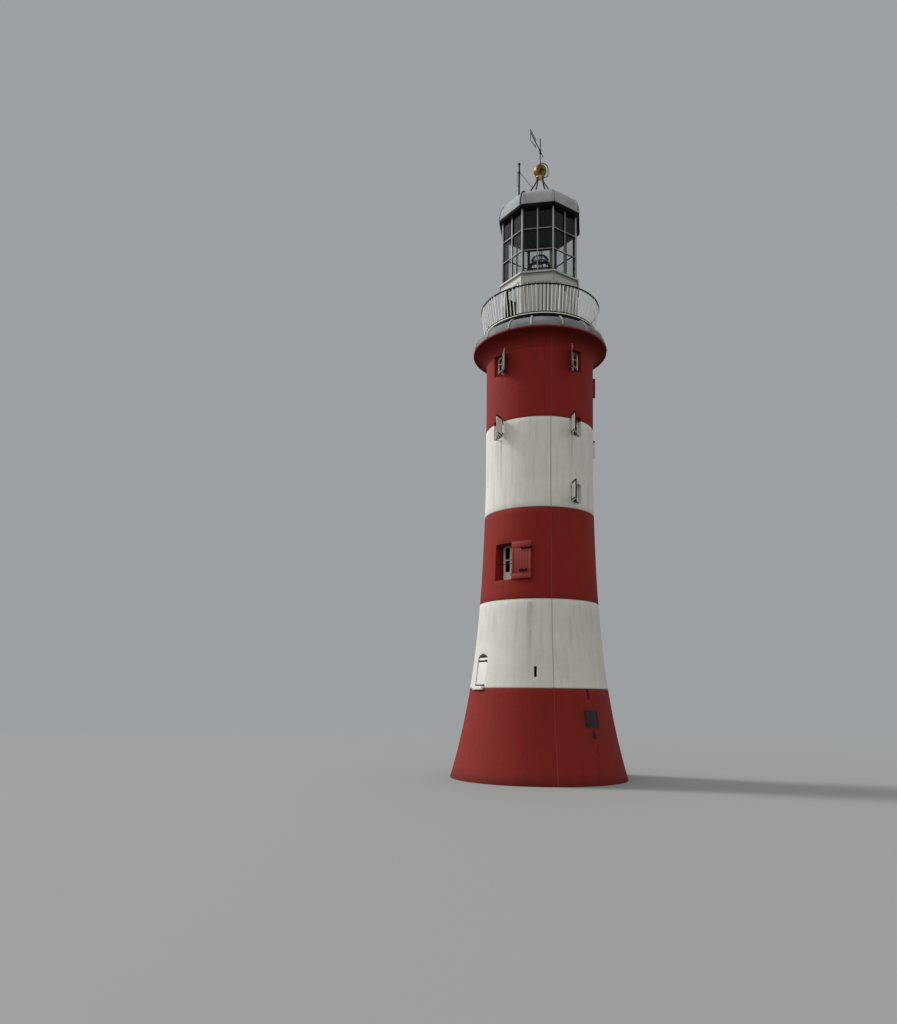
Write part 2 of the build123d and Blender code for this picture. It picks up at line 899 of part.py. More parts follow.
def build():
    save("base_wall", base_wall())
    for name, walls in (
        ("entrance", entrance_walls()),
        ("store", store_walls()),
        ("middle", middle_walls()),
        ("upper", upper_walls()),
    ):
        piers, fills = walls
        save(f"{name}_wall", group([piers]))
        save(f"{name}_sills_and_heads", group(fills))
    save("cornice", cornice())
    save("coping", coping())
    save("storey_floors", group([floor_disc(level) for level in room_levels]))
    save("gallery_floor", floor_disc(gallery_level))

    windows = window_set()
    frames = [at_azimuth(azimuth) * window_frame(sill, height) for azimuth, sill, height, _ in windows]
    panes = [at_azimuth(azimuth) * window_pane(sill, height) for azimuth, sill, height, _ in windows]
    save("window_frames", group(frames))
    save("window_glass", group(panes))
    save("shutters", group([shutter(*window) for window in windows]))
    rings = [band_ring(store_top, middle_top), band_ring(middle_top, cornice_foot)]
    hinges = []
    for azimuth, sill, height, _ in windows:
        hinges.extend(pintle - rings for pintle in shutter_hinges(azimuth, sill, height))
    save("shutter_hinges", group(hinges))
    save("store_doors", store_doors())
    save("store_door_glass", store_door_glass())
    save("store_leaf", store_leaf())
    ring = band_ring(entrance_top, store_top)
    save("store_leaf_hinges", group([pintle - ring for pintle in store_leaf_hinges()]))
    save("store_safety_bar", safety_bar())
    save("entrance_door", entrance_door())
    save("entrance_step", group([entrance_step()]))

    save("railing_posts", group(railing_posts()))
    save("railing_panels", group([railing_panels()]))
    save("lantern_wall", lantern_wall())
    save("gallery_door", gallery_door())
    save("lantern_sill", lantern_sill())
    save("lantern_posts", group(lantern_posts()))
    save("lantern_glazing_bars", group(lantern_glazing_bars()))
    save("lantern_glass", group(lantern_panes()))
    save("lantern_eaves", lantern_eaves())
    save("lantern_ceiling", lantern_ceiling())
    save("lantern_dome", dome())
    save("candle_rings", candle_rings())

    save("vane_stand_legs", group(stand_legs()))
    save("vane_stand_collar", stand_collar())
    save("vane_ball", ball())
    save("vane_spindle", spindle())
    save("vane_arrow", vane_arrow())
    save("vane_banner", group(vane_banner()))
    save("conductor_loop", group([conductor_loop()]))
    save("signal_pole", signal_pole())
    save("pole_stay", pole_stay())


build()
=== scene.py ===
# %% [markdown]
# A round masonry lighthouse tower, dressed for a studio picture. The CAD model is loaded first
# and stays as it is. Everything below either gives a CAD node a finish or stands in its place
# with a smoother, more detailed mesh. Lengths are metres, the tower's axis is Z and its front
# is -Y. Azimuths are degrees, counted from the front towards the right.

# %% Load the CAD frame
from math import asin, atan2, ceil, cos, degrees, pi, radians, sin, sqrt, tan

import bmesh
import bpy
from mathutils import Matrix, Vector


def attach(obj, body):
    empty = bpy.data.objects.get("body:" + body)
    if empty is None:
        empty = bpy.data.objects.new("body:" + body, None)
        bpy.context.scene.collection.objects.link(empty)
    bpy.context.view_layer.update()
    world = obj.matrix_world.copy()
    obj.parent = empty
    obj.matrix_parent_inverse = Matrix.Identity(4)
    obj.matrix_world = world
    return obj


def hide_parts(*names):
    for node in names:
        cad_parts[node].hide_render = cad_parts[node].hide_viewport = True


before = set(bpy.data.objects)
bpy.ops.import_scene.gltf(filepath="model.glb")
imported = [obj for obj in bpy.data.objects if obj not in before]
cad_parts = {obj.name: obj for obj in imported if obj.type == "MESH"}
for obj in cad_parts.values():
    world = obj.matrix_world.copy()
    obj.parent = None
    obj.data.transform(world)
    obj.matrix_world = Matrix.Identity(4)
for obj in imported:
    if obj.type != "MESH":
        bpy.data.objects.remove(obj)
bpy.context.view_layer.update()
print("CAD nodes:", len(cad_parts))

# %% [markdown]
# The camera comes first, because every later choice is judged through it. It was worked out
# from the rings of the tower: they fix how far away, how high and how steeply it looks. Its
# lens stays almost level and the picture is shifted upwards, as an architect's camera is, so
# that the walls lean in only a little.

# %% Camera
image_width = 897
focal_px = 789.0
rise_px = 132.0
camera_place = Vector((0, -33.79, 3.25))
camera_turn = radians(3.5)
pitch, roll, yaw = radians(4.0), radians(0.64), radians(-6.53)
sensor = 36.0

ahead = Vector((sin(yaw) * cos(pitch), cos(yaw) * cos(pitch), sin(pitch)))
level_right = Vector((cos(yaw), -sin(yaw), 0))
level_up = level_right.cross(ahead)
right = cos(roll) * level_right + sin(roll) * level_up
up = cos(roll) * level_up - sin(roll) * level_right

camera_data = bpy.data.cameras.new("camera")
camera_data.sensor_fit = "HORIZONTAL"
camera_data.sensor_width = sensor
camera_data.lens = focal_px / image_width * sensor
camera_data.shift_y = rise_px / image_width
camera_data.clip_end = 2000
camera = bpy.data.objects.new("camera", camera_data)
bpy.context.scene.collection.objects.link(camera)
look = Matrix((right, up, -ahead)).transposed().to_4x4()
look.translation = camera_place
camera.matrix_world = Matrix.Rotation(camera_turn, 4, "Z") @ look
bpy.context.scene.camera = camera
print("lens", round(camera_data.lens, 2), "mm, shift", round(camera_data.shift_y, 3))

# %% [markdown]
# A few small helpers carry all the materials. Paint charts give colours as sRGB hex values, but
# light adds up linearly, so one function turns the first into the second. Another adds a node
# with its settings and its links in one line, and the rest are short names for common nodes.

# %% Colour and node helpers
def linear(hex_colour):
    """An sRGB hex value as linear red, green, blue and alpha."""
    shares = [int(hex_colour[i:i + 2], 16) / 255 for i in (1, 3, 5)]
    return tuple(c / 12.92 if c <= 0.04045 else ((c + 0.055) / 1.055) ** 2.4 for c in shares) + (1.0,)


def add(tree, kind, *inputs, **named):
    """Adds a node. Each value is a setting, a hex colour, or the node or socket that feeds an input."""
    node = tree.nodes.new(kind if "Node" in kind else "ShaderNode" + kind)
    for key, value in [*enumerate(inputs), *named.items()]:
        if isinstance(key, str) and hasattr(node, key):
            setattr(node, key, value)
            continue
        socket = node.inputs[key.replace("_", " ") if isinstance(key, str) else key]
        if isinstance(value, bpy.types.Node):
            value = value.outputs[0]
        if isinstance(value, bpy.types.NodeSocket):
            tree.links.new(value, socket)
        elif value is not None:
            socket.default_value = linear(value) if isinstance(value, str) else value
    return node


def maths(tree, operation, *values):
    return add(tree, "Math", *values, operation=operation)


def noise(tree, place, scale, detail, roughness=0.5):
    return add(tree, "TexNoise", place, Scale=scale, Detail=detail, Roughness=roughness)


def ramp(tree, value, low, high, first=0.0, last=1.0, curve="LINEAR"):
    """Draws the range from low to high out from first to last."""
    return add(tree, "MapRange", value, low, high, first, last, interpolation_type=curve)


def mix(tree, share, first, second, blend_type="MIX"):
    """The socket of a colour mix. A Mix node has its two colours at its inputs 6 and 7."""
    unused = [None] * 5
    node = add(tree, "Mix", share, *unused, first, second, data_type="RGBA", blend_type=blend_type)
    return node.outputs[2]


def bump(tree, shader, height, strength, distance, **more):
    """Feeds the shader's normal from a height."""
    node = add(tree, "Bump", Height=height, Strength=strength, Distance=distance, **more)
    tree.links.new(node.outputs[0], shader.inputs["Normal"])


def blank_material(name, roughness, metallic=0.0, specular=0.5):
    """A Principled material with its tree, its shader and the place on the piece."""
    material = bpy.data.materials.new(name)
    material.use_nodes = True
    tree = material.node_tree
    shader = tree.nodes["Principled BSDF"]
    shader.inputs["Roughness"].default_value = roughness
    shader.inputs["Metallic"].default_value = metallic
    shader.inputs["Specular IOR Level"].default_value = specular
    return material, tree, shader, add(tree, "TexCoord").outputs["Object"]


print("white paint is", [round(c, 3) for c in linear("#E4E1D8")[:3]])

# %% [markdown]
# The shaft is built of coursed blocks under many coats of masonry paint, red and white by turns.
# The paint fills the joints, so from the ground the courses show only as a faint quilting, and
# rain leaves long soft streaks. A pattern on plain X and Y would smear round a drum, so the
# pattern here is wrapped: the angle about the axis times the radius runs along the wall, and
# the height runs up it. Sixteen blocks close the circle without a seam at the back.

# %% Painted masonry
shaft_radius = 2.3
blocks_round = 16
block_length = 2 * pi * shaft_radius / blocks_round
course_height = 0.373
base_top, entrance_top, store_top, middle_top = band_edges = 3.72, 7.28, 11.03, 14.76
cornice_foot = 17.68


def wrapped(tree, place):
    """Distance round the wall from the front, height, and both as one vector, in metres."""
    axes = add(tree, "SeparateXYZ", place)
    front = maths(tree, "MULTIPLY", axes.outputs["Y"], -1.0)
    angle = maths(tree, "ARCTAN2", axes.outputs["X"], front)
    along = maths(tree, "MULTIPLY", angle, shaft_radius)
    return along, axes.outputs["Z"], add(tree, "CombineXYZ", along, axes.outputs["Z"])


def off_line(tree, value, middle):
    """How far a value is from a middle, either way."""
    return maths(tree, "ABSOLUTE", maths(tree, "SUBTRACT", value, middle))


def streak(tree, along, height, azimuth, top, end, width, strength):
    """A soft vertical run-off stain as a mask: strongest at its top, gone at its end."""
    side = off_line(tree, along, radians(azimuth) * shaft_radius)
    mask = ramp(tree, side, width / 2, 0.0, 0.0, 1.0, "SMOOTHSTEP")
    for factor in (ramp(tree, height, end, top), maths(tree, "LESS_THAN", height, top), strength):
        mask = maths(tree, "MULTIPLY", mask, factor)
    return mask


def masonry_paint(name, paint, faded, grime, streaks, ground_dirt=0.0):
    """Matt masonry paint over coursed blocks, mottled, with run-off and lines at the band's edges."""
    material, tree, shader, place = blank_material(name, 0.85, 0.0, 0.25)
    along, height, wall = wrapped(tree, place)
    patches = ramp(tree, noise(tree, place, 0.9, 5.0, 0.6), 0.4, 0.7, 0.0, 0.55)
    colour = mix(tree, patches, paint, faded)

    # Single blocks take the paint a little differently, by a few percent at most.
    courses = add(
        tree, "TexBrick", wall, Color1=(1, 1, 1, 1), Color2=(0.93, 0.93, 0.93, 1),
        Mortar=(0.9, 0.9, 0.9, 1), Scale=1.0, Mortar_Size=0.009, Mortar_Smooth=0.6, Bias=0.0,
        Brick_Width=block_length, Row_Height=course_height,
    )
    colour = mix(tree, 0.55, colour, courses.outputs["Color"], "MULTIPLY")

    # Rain draws the dirt into lines about 15 cm apart and a metre or more long.
    drawn = add(tree, "Mapping", wall, Scale=(6.5, 0.55, 1.0))
    stains = [ramp(tree, noise(tree, drawn, 1.0, 3.0, 0.55), 0.5, 0.8, 0.0, 0.3)]
    stains += [streak(tree, along, height, *numbers) for numbers in streaks]
    # A thin dark line shows where one colour was cut in against the other.
    stains += [ramp(tree, off_line(tree, height, level), 0.0, 0.05, 0.6, 0.0) for level in band_edges]
    # Spray and dust dull the lowest storeys, and splashes the foot.
    stains.append(ramp(tree, height, 6.0, 9.0, 0.16, 0.0, "SMOOTHSTEP"))
    if ground_dirt:
        stains.append(ramp(tree, height, 0.0, 0.55, ground_dirt, 0.0))
    for stain in stains:
        colour = mix(tree, stain, colour, grime)
    tree.links.new(colour, shader.inputs["Base Color"])

    # The real grit is about 2 mm; at 25 mm it is drawn as coarse as the picture can show.
    grit = noise(tree, place, 40.0, 4.0, 0.6)
    fine = add(tree, "Bump", Height=grit, Strength=0.25, Distance=0.004)
    bump(tree, shader, courses.outputs["Fac"], 0.35, 0.006, invert=True, Normal=fine)
    return material


# Each streak is its azimuth, top, end, width and strength.
white_streaks = [
    (-39.5, 14.0, 11.6, 0.22, 0.55),
    (-46.0, 14.0, 12.6, 0.55, 0.25),
    (38.8, 14.0, 12.2, 0.16, 0.45),
    (141.0, 14.0, 12.0, 0.2, 0.4),
    (-141.0, 14.0, 12.0, 0.2, 0.4),
    (-4.0, 7.15, 4.6, 0.34, 0.4),
    (-3.6, 6.0, 4.7, 0.16, 0.35),
    (118.0, 7.1, 5.2, 0.3, 0.35),
]
white_stone = masonry_paint("white_masonry_paint", "#E6E3DA", "#D9D5C9", "#8F8B80", white_streaks)
red_streaks = [(-39.0, 16.7, 15.2, 0.2, 0.35)]
red_stone = masonry_paint("red_masonry_paint", "#8E251C", "#84251C", "#481C17", red_streaks, 0.55)
print("masonry:", len(white_stone.node_tree.nodes), "and", len(red_stone.node_tree.nodes), "nodes")

# %% [markdown]
# The other finishes. Painted woodwork on a tower like this is gloss gone to satin, with the
# boards' grain just telegraphing through. The gallery's coping and the dome are covered in
# weathered sheet metal, dull and slightly cloudy. Ironwork is black satin paint with a few
# brown freckles. The ball and the collar under the vane were gilded once and have gone brown
# with bright patches left; the ball's dark patches are also painted reflections of the dark ground.
# All of them are two colours in clouds over small marks.

# %% Painted wood, sheet metal, iron and gilding
# Each kind has its roughness, metallic and specular level, its clouds' scale, detail and
# roughness, how they fade in, its marks' scale, detail and roughness, and their strength and depth.
clouds_on_wood = ((2.4, 5.0, 0.62), (0.42, 0.78, 0.0, 0.5), (1.0, 4.0, 0.6), (0.3, 0.002))
kinds = {
    "satin wood": (0.5, 0.0, 0.4, *clouds_on_wood),
    "matt wood": (0.85, 0.0, 0.2, *clouds_on_wood),
    "sheet": (0.75, 0.0, 0.3, (1.6, 6.0, 0.65), (0.36, 0.66), (7.0, 3.0), (0.3, 0.012)),
    "iron": (0.5, 0.0, 0.25, (9.0, 6.0, 0.7), (0.62, 0.72, 0.0, 0.6), (45.0, 2.0), (0.2, 0.002)),
    "gilding": (0.36, 1.0, 0.5, (6.0, 6.0, 0.7), (0.42, 0.62), (25.0, 3.0), (0.25, 0.003)),
}


def painted(kind, name, main, other, roughness=None):
    """A finish of one kind in its main colour, clouded with the other."""
    own, metallic, specular, clouds, fade, marks, depth = kinds[kind]
    material, tree, shader, place = blank_material(name, roughness or own, metallic, specular)
    colour = mix(tree, ramp(tree, noise(tree, place, *clouds), *fade), main, other)
    tree.links.new(colour, shader.inputs["Base Color"])
    if "wood" in kind:
        place = add(tree, "Mapping", place, Scale=(30.0, 30.0, 2.0))
    bump(tree, shader, noise(tree, place, *marks), *depth)
    return material


white_wood = painted("satin wood", "white_oil_paint_on_wood", "#E9E7E0", "#CFCBC0")
white_boards = painted("satin wood", "white_oil_paint_on_boards", "#E6E4DC", "#CBC7BB")
shutter_wood = painted("satin wood", "white_shutter_paint", "#E2E0D8", "#C6C2B6")
# Shutter paint darkened as painted shade, for the top row in the cornice's shadow.
top_shutter_shade_paint = painted("satin wood", "top_shutter_paint_darkened_as_painted_shade", "#85837B", "#6E6C65")
red_wood = painted("satin wood", "red_oil_paint_on_wood", "#94291F", "#80251C")
# The lantern's white paint is greyed as painted shade.
lantern_wood = painted("satin wood", "white_board_paint_greyed_as_painted_shade", "#B5B3AC", "#9C9990")
bar_wood = painted("satin wood", "grey_paint_on_glazing_bars", "#A5A39D", "#8F8D87")
sill_shade_paint = painted("satin wood", "sill_bed_paint_darkened_as_painted_shade", "#96948D", "#827F79")
strip_shadow_grey = painted("satin wood", "strip_paint_greyed_as_painted_shadow", "#A8A49A", "#8F8B80")
strip_shadow_red = painted("satin wood", "strip_red_darkened_as_painted_shadow", "#8A322A", "#6E2A24")
wax = painted("satin wood", "tallow_wax", "#C9BFA4", "#A89C80")
# Black paint on the bolts and the handrail; on the lantern's frame, eaves, ceiling, inner faces and sill
# upstand, and under the railing's foot ring, the black is painted shade.
black_paint_and_shade = painted("matt wood", "black_oil_paint_on_wood", "#0D0D0E", "#080808")
coping_metal = painted("sheet", "weathered_lead_sheet", "#7C7E7E", "#666868")
# The seams are painted paler than the sheets as a painted highlight.
seam_highlight_paint = painted("sheet", "seam_sheet_paled_as_painted_highlight", "#B4B6B5", "#8E908F", 0.7)
dome_metal = painted("sheet", "painted_dome_sheet", "#A3A6A7", "#8F9293")
roll_paint = painted("sheet", "dark_hip_rolls", "#6A6D6E", "#505253", 0.7)
black_iron = painted("iron", "black_painted_iron", "#151617", "#2E211B")
white_iron = painted("iron", "white_painted_iron", "#EFEDE6", "#B09A82")
dark_bronze = painted("iron", "dark_bronze_plate", "#2C2A27", "#3E372C", 0.38)
# The ball's dark clouds are tarnish and also painted reflections of the dark ground.
gilding = painted("gilding", "tarnished_gilding_with_painted_reflections", "#A87F3E", "#33271A")
bright_gilding = painted("gilding", "bright_gilding", "#D9B46C", "#9A7A44")
print("materials so far:", len(bpy.data.materials))

# %% [markdown]
# Window glass is drawn as a clear, nearly smooth solid. It is a real sheet with two faces, so
# the sky on its front and the room behind it both show. The floors inside are worn flagstones
# that hardly anyone will see, but light coming through the windows does reach them.

# %% Glass and floors
pane_glass, tree, shader, place = blank_material("window_glass_sheet", 0.02)
for label, value in (("Base Color", linear("#E9EEEC")), ("Transmission Weight", 1.0), ("IOR", 1.25)):
    shader.inputs[label].default_value = value
bump(tree, shader, noise(tree, place, 3.0, 1.0), 0.05, 0.004)

floor_flags, tree, shader, place = blank_material("worn_flagstones", 0.7)
slabs = add(
    tree, "TexBrick", place, Color1="#9A9285", Color2="#8C857A", Mortar="#5E584E",
    Scale=1.0, Mortar_Size=0.008, Brick_Width=0.6, Row_Height=0.4,
)
tree.links.new(slabs.outputs["Color"], shader.inputs["Base Color"])
bump(tree, shader, slabs.outputs["Fac"], 0.4, 0.005, invert=True)

for node in ("window_glass", "store_door_glass", "lantern_glass", "storey_floors", "gallery_floor"):
    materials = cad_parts[node].data.materials
    materials.clear()
    materials.append(pane_glass if "glass" in node else floor_flags)
print("glass and floors keep their CAD shapes")

# %% [markdown]
# Every piece goes the same last steps: it gets its name, its material, smooth faces with sharp
# edges kept sharp, the CAD body it moves with, and the CAD nodes that it stands for. A small
# bevel on hard edges catches a line of light, as real arrises do.

# %% Finishing helpers
def settle(piece):
    """Turns a piece with modifiers into a plain mesh."""
    graph = bpy.context.evaluated_depsgraph_get()
    plain = bpy.data.meshes.new_from_object(piece.evaluated_get(graph))
    piece.modifiers.clear()
    piece.data = plain
    return piece


def bevel(piece, width, segments=2):
    """Rounds a piece's hard edges by a width in metres."""
    edge = piece.modifiers.new("arris", "BEVEL")
    edge.width = width
    edge.segments = segments
    edge.limit_method = "ANGLE"
    edge.angle_limit = radians(35)
    edge.use_clamp_overlap = True
    return settle(piece)


def finish_piece(name, piece, finish, nodes=(), body="tower", smooth=35):
    """Gives a piece its name, material, shading and body, and lets it stand for CAD nodes."""
    piece.name = piece.data.name = name
    if finish is not None:
        piece.data.materials.clear()
        piece.data.materials.append(finish)
    piece.data.shade_smooth()
    piece.data.set_sharp_from_angle(angle=radians(smooth))
    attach(piece, body)
    if nodes:
        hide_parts(*nodes)
    print(name, len(piece.data.polygons), "faces")


def as_object(work, mesh=None):
    """Hands a work mesh over to a new object in the scene."""
    mesh = mesh or bpy.data.meshes.new("part")
    work.to_mesh(mesh)
    work.free()
    piece = bpy.data.objects.new("part", mesh)
    bpy.context.scene.collection.objects.link(piece)
    return piece


def from_faces(corners, faces):
    """A mesh object from corner places and faces, with its doubles merged and facing outwards."""
    mesh = bpy.data.meshes.new("part")
    mesh.from_pydata([tuple(c) for c in corners], [], faces)
    work = bmesh.new()
    work.from_mesh(mesh)
    bmesh.ops.remove_doubles(work, verts=work.verts, dist=1e-5)
    bmesh.ops.recalc_face_normals(work, faces=work.faces)
    return as_object(work, mesh)


def skin(rings, closed=False, ends=True):
    """A tube through rings of points. It runs back into itself if closed, else its ends are capped."""
    count = len(rings[0])
    total = len(rings) * count
    faces = []
    for start in range(0, total if closed else total - count, count):
        after = (start + count) % total
        for k in range(count):
            n = (k + 1) % count
            faces.append([start + k, start + n, after + n, after + k])
    if ends and not closed:
        faces += [list(range(count)), list(range(total - count, total))]
    return from_faces([point for ring in rings for point in ring], faces)


def dressed(node, width=0.0):
    """A copy of a CAD node's mesh with flat faces made whole and arrises rounded."""
    work = bmesh.new()
    work.from_mesh(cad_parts[node].data)
    bmesh.ops.remove_doubles(work, verts=work.verts, dist=2e-5)
    bmesh.ops.dissolve_limit(work, angle_limit=radians(0.5), verts=work.verts, edges=work.edges)
    piece = as_object(work)
    return bevel(piece, width) if width else piece


def joined(pieces):
    """Several objects' meshes as one, keeping each one's materials."""
    work = bmesh.new()
    finishes = []
    for piece in pieces:
        start = len(work.faces)
        work.from_mesh(piece.data)
        work.faces.ensure_lookup_table()
        own = list(piece.data.materials) or [None]
        finishes += [finish for finish in own if finish not in finishes]
        for face in work.faces[start:]:
            face.material_index = finishes.index(own[face.material_index])
        bpy.data.objects.remove(piece)
    whole = as_object(work)
    for finish in finishes:
        if finish is not None:
            whole.data.materials.append(finish)
    return whole


def assembled(name, parts, width, finish, nodes=(), segments=2):
    """Joins parts into one piece, rounds its arrises and finishes it."""
    finish_piece(name, bevel(joined(parts), width, segments), finish, nodes)


print("helpers ready")

# %% [markdown]
# Some pieces are right in the CAD model and only get a finish, most of them with their arrises
# rounded: the window frames with six panes each, the pintles, the entrance's stone step, which
# laps over the edge between the white band and the red, the store's half-glazed doors and guard
# rail, the wall behind the lantern's boards, its door, eaves and ceiling, and the two parts of
# the vane that turn.

# %% Pieces that keep their CAD shapes
for name, node, width, finish, slot in (
    ("window_frames_painted", "window_frames", 0.004, white_wood, "white_timber"),
    ("shutter_pintles", "shutter_hinges", 0.0, black_iron, "black_iron"),
    ("entrance_step_stone", "entrance_step", 0.012, white_wood, "white_masonry"),
    ("store_inner_doors", "store_doors", 0.004, white_wood, "white_timber"),
    ("store_guard_bar", "store_safety_bar", 0.0, black_iron, "black_iron"),
    ("store_leaf_pintles", "store_leaf_hinges", 0.0, black_iron, "black_iron"),
    # The wall frame behind the lantern's boards, the eaves and the ceiling are black as painted shade: in
    # the boards' joints, under the eaves and inside the roof.
    ("lantern_wall_frame", "lantern_wall", 0.006, black_paint_and_shade, "white_timber"),
    ("gallery_door_leaf", "gallery_door", 0.004, lantern_wood, "white_timber"),
    ("lantern_eaves_board", "lantern_eaves", 0.008, black_paint_and_shade, "black_iron"),
    ("lantern_ceiling_board", "lantern_ceiling", 0.0, black_paint_and_shade, "black_iron"),
    ("vane_arrow_iron", "vane_arrow", 0.002, black_iron, "black_iron"),
    ("vane_banner_iron", "vane_banner", 0.002, black_iron, "black_iron"),
):
    body = "vane" if node in ("vane_arrow", "vane_banner") else "tower"
    finish_piece(name, dressed(node, width), finish, [node], body)

# %% [markdown]
# The shaft's wall. On the real tower each opening is cut square through a round wall: its two
# jambs are parallel, so on a drum they don't run towards the axis. A boolean cut would leave
# slivers that shade badly. Instead the wall is a grid wrapped round the axis, whose columns
# bend to follow the jambs, and the cells inside an opening are simply left out.

# %% Shaft walls
room_radius = 1.88
batter_top = 12.2
row_step, column_step = 0.31, radians(2.5)


def polar(radius, angle, z):
    """A point at a radius, an angle in radians from the front, and a height."""
    return (radius * sin(angle), -radius * cos(angle), z)


def wall_radius(z):
    """The shaft's outside radius: plumb above, battered below, flared at the foot."""
    share = max(0.0, 1 - z / batter_top)
    return shaft_radius + 0.35 * share + 1.07 * share ** 3


def wall_columns(openings):
    """Column lines as functions of the radius, and which opening each gap lies in."""
    lines = []
    inside = []
    ordered = sorted(openings, key=lambda item: item[0])
    for i, (azimuth, width, parts) in enumerate(ordered):
        here = radians(azimuth)
        steps = 14 if len(parts[0]) == 3 else 4
        for k in range(steps + 1):
            x = width * (k / steps - 0.5)
            lines.append((here, x, here, x, 0.0))
            inside.append(parts if k < steps else None)
        following = ordered[(i + 1) % len(ordered)]
        gap_end = radians(following[0]) + (2 * pi if i + 1 == len(ordered) else 0)
        steps = max(4, ceil((gap_end - here) / column_step))
        for k in range(1, steps):
            lines.append((here, width / 2, gap_end, -following[1] / 2, k / steps))
            inside.append(None)
    return lines, inside


def column_angle(line, radius):
    """Where a column stands at a radius, shared out between the jambs on its two sides."""
    start, x0, end, x1, share = line
    return (start + asin(x0 / radius)) * (1 - share) + (end + asin(x1 / radius)) * share


def wall_rows(low, high, openings):
    """Heights of the grid's rows: the band's ends, every sill and head, and even steps between."""
    keys = {low, high}
    for _, _, parts in openings:
        for part in parts:
            keys.update(z for z in part[:2] if low < z < high)
    keys = sorted(keys)
    rows = [keys[0]]
    for a, b in zip(keys, keys[1:]):
        steps = max(1, ceil((b - a) / row_step))
        rows += [a + (b - a) * k / steps for k in range(1, steps + 1)]
    return rows


def arch_lift(line, z, openings):
    """Height of a segmental arch over its spring at a column inside its opening, else nought."""
    for azimuth, width, parts in openings:
        for part in parts:
            at_spring = len(part) == 3 and abs(z - part[1]) < 1e-6
            if at_spring and line[4] == 0.0 and abs(line[0] - radians(azimuth)) < 1e-6:
                rise = part[2]
                radius = ((width / 2) ** 2 + rise ** 2) / (2 * rise)
                return sqrt(max(0.0, radius ** 2 - line[1] ** 2)) - (radius - rise)
    return 0.0


def wall_band(low, high, openings):
    """One painted band, from the outside face to the rooms' wall, with its openings left out."""
    lines, inside = wall_columns(openings)
    rows = wall_rows(low, high, openings)
    count = len(lines)
    corners = []
    index = {}
    faces = []
    for r, z in enumerate(rows):
        for c, line in enumerate(lines):
            height = z + arch_lift(line, z, openings)
            for side, radius in enumerate((wall_radius(height), room_radius)):
                index[r, c, side] = len(corners)
                corners.append(polar(radius, column_angle(line, radius), height))

    def solid(r, c):
        if not 0 <= r < len(rows) - 1:
            return False
        middle = (rows[r] + rows[r + 1]) / 2
        return not any(part[0] < middle < part[1] for part in inside[c] or ())

    def quad(*keys):
        faces.append([index[key] for key in keys])

    for r in range(-1, len(rows)):
        for c in range(count):
            n = (c + 1) % count
            here = solid(r, c)
            if here:
                quad((r, c, 0), (r, n, 0), (r + 1, n, 0), (r + 1, c, 0))
                quad((r, c, 1), (r + 1, c, 1), (r + 1, n, 1), (r, n, 1))
            if here != solid(r + 1, c):
                quad((r + 1, c, 0), (r + 1, n, 0), (r + 1, n, 1), (r + 1, c, 1))
            if here != solid(r, n):
                quad((r, n, 0), (r + 1, n, 0), (r + 1, n, 1), (r, n, 1))
    return bevel(from_faces(corners, faces), 0.007)


slit = 0.11
door_azimuth, door_width, door_sill, door_spring, door_rise = -53.5, 0.775, 3.8, 4.96, 0.16
store_azimuth, store_width, store_sill, store_head = -33.3, 0.845, 8.1, 9.6
window_width, window_height, top_window_height = 0.54, 0.8, 0.88
lower_sill, upper_sill, top_sill = 11.28, 14.08, 16.8
lower_azimuths, window_azimuths = (45, -135), (-45, 45, 135, -135)

# Each opening is its azimuth, its width and its parts: sill, head and, under an arch, rise.
middle_openings = []
upper_openings = []
for azimuth in window_azimuths:
    parts = [(upper_sill, upper_sill + window_height)]
    upper_openings.append((azimuth, window_width, parts + [(top_sill, cornice_foot + 0.1)]))
    if azimuth in lower_azimuths:
        parts = parts + [(lower_sill, lower_sill + window_height)]
    middle_openings.append((azimuth, window_width, parts))
doorway = (door_azimuth, door_width, [(door_sill, door_spring, door_rise)])
front_slit = (1, slit, [(4.15, 4.57)])
store_opening = (store_azimuth, store_width, [(store_sill, store_head)])
for name, low, high, openings in (
    ("base", 0.0, base_top, [(45, slit, [(3.3, 3.8)])]),
    ("entrance", base_top, entrance_top, [doorway, front_slit]),
    ("store", entrance_top, store_top, [store_opening]),
    ("middle", store_top, middle_top, middle_openings),
    ("upper", middle_top, cornice_foot, upper_openings),
):
    white = name in ("entrance", "middle")
    paint, slot = (white_stone, "white_masonry") if white else (red_stone, "red_masonry")
    nodes = [name + "_wall"] if name == "base" else [name + "_wall", name + "_sills_and_heads"]
    finish_piece(name + "_wall_painted", wall_band(low, high, openings), paint, nodes)

# %% [markdown]
# The cornice and the coping are turned shapes. The cornice swells out under the gallery in a
# quarter curve, in the same red as the band below. Over its rim lies the coping, a sloping ring
# dressed in sheet metal. Both are lathe work: an outline swung round the axis in fine steps.

# %% Cornice and coping
def turns(count):
    """Evenly spaced angles of a full circle."""
    return [2 * pi * k / count for k in range(count)]


def turned(outline, steps=192):
    """A closed outline of (radius, height) points swung round the axis."""
    return skin([[polar(r, angle, z) for r, z in outline] for angle in turns(steps)], closed=True)


def eased(points, steps=8):
    """A smooth line through its points, with the ends' slopes taken from their neighbours."""
    pts = [Vector(p) for p in points]
    pts = [2 * pts[0] - pts[1]] + pts + [2 * pts[-1] - pts[-2]]
    line = []
    for i in range(1, len(pts) - 2):
        a, b, c, d = pts[i - 1:i + 3]
        for t in [k / steps for k in range(steps)]:
            place = 2 * b + (c - a) * t + (2 * a - 5 * b + 4 * c - d) * t ** 2
            line.append(0.5 * (place + (3 * b - 3 * c + d - a) * t ** 3))
    return [tuple(place) for place in line + [pts[-2]]]


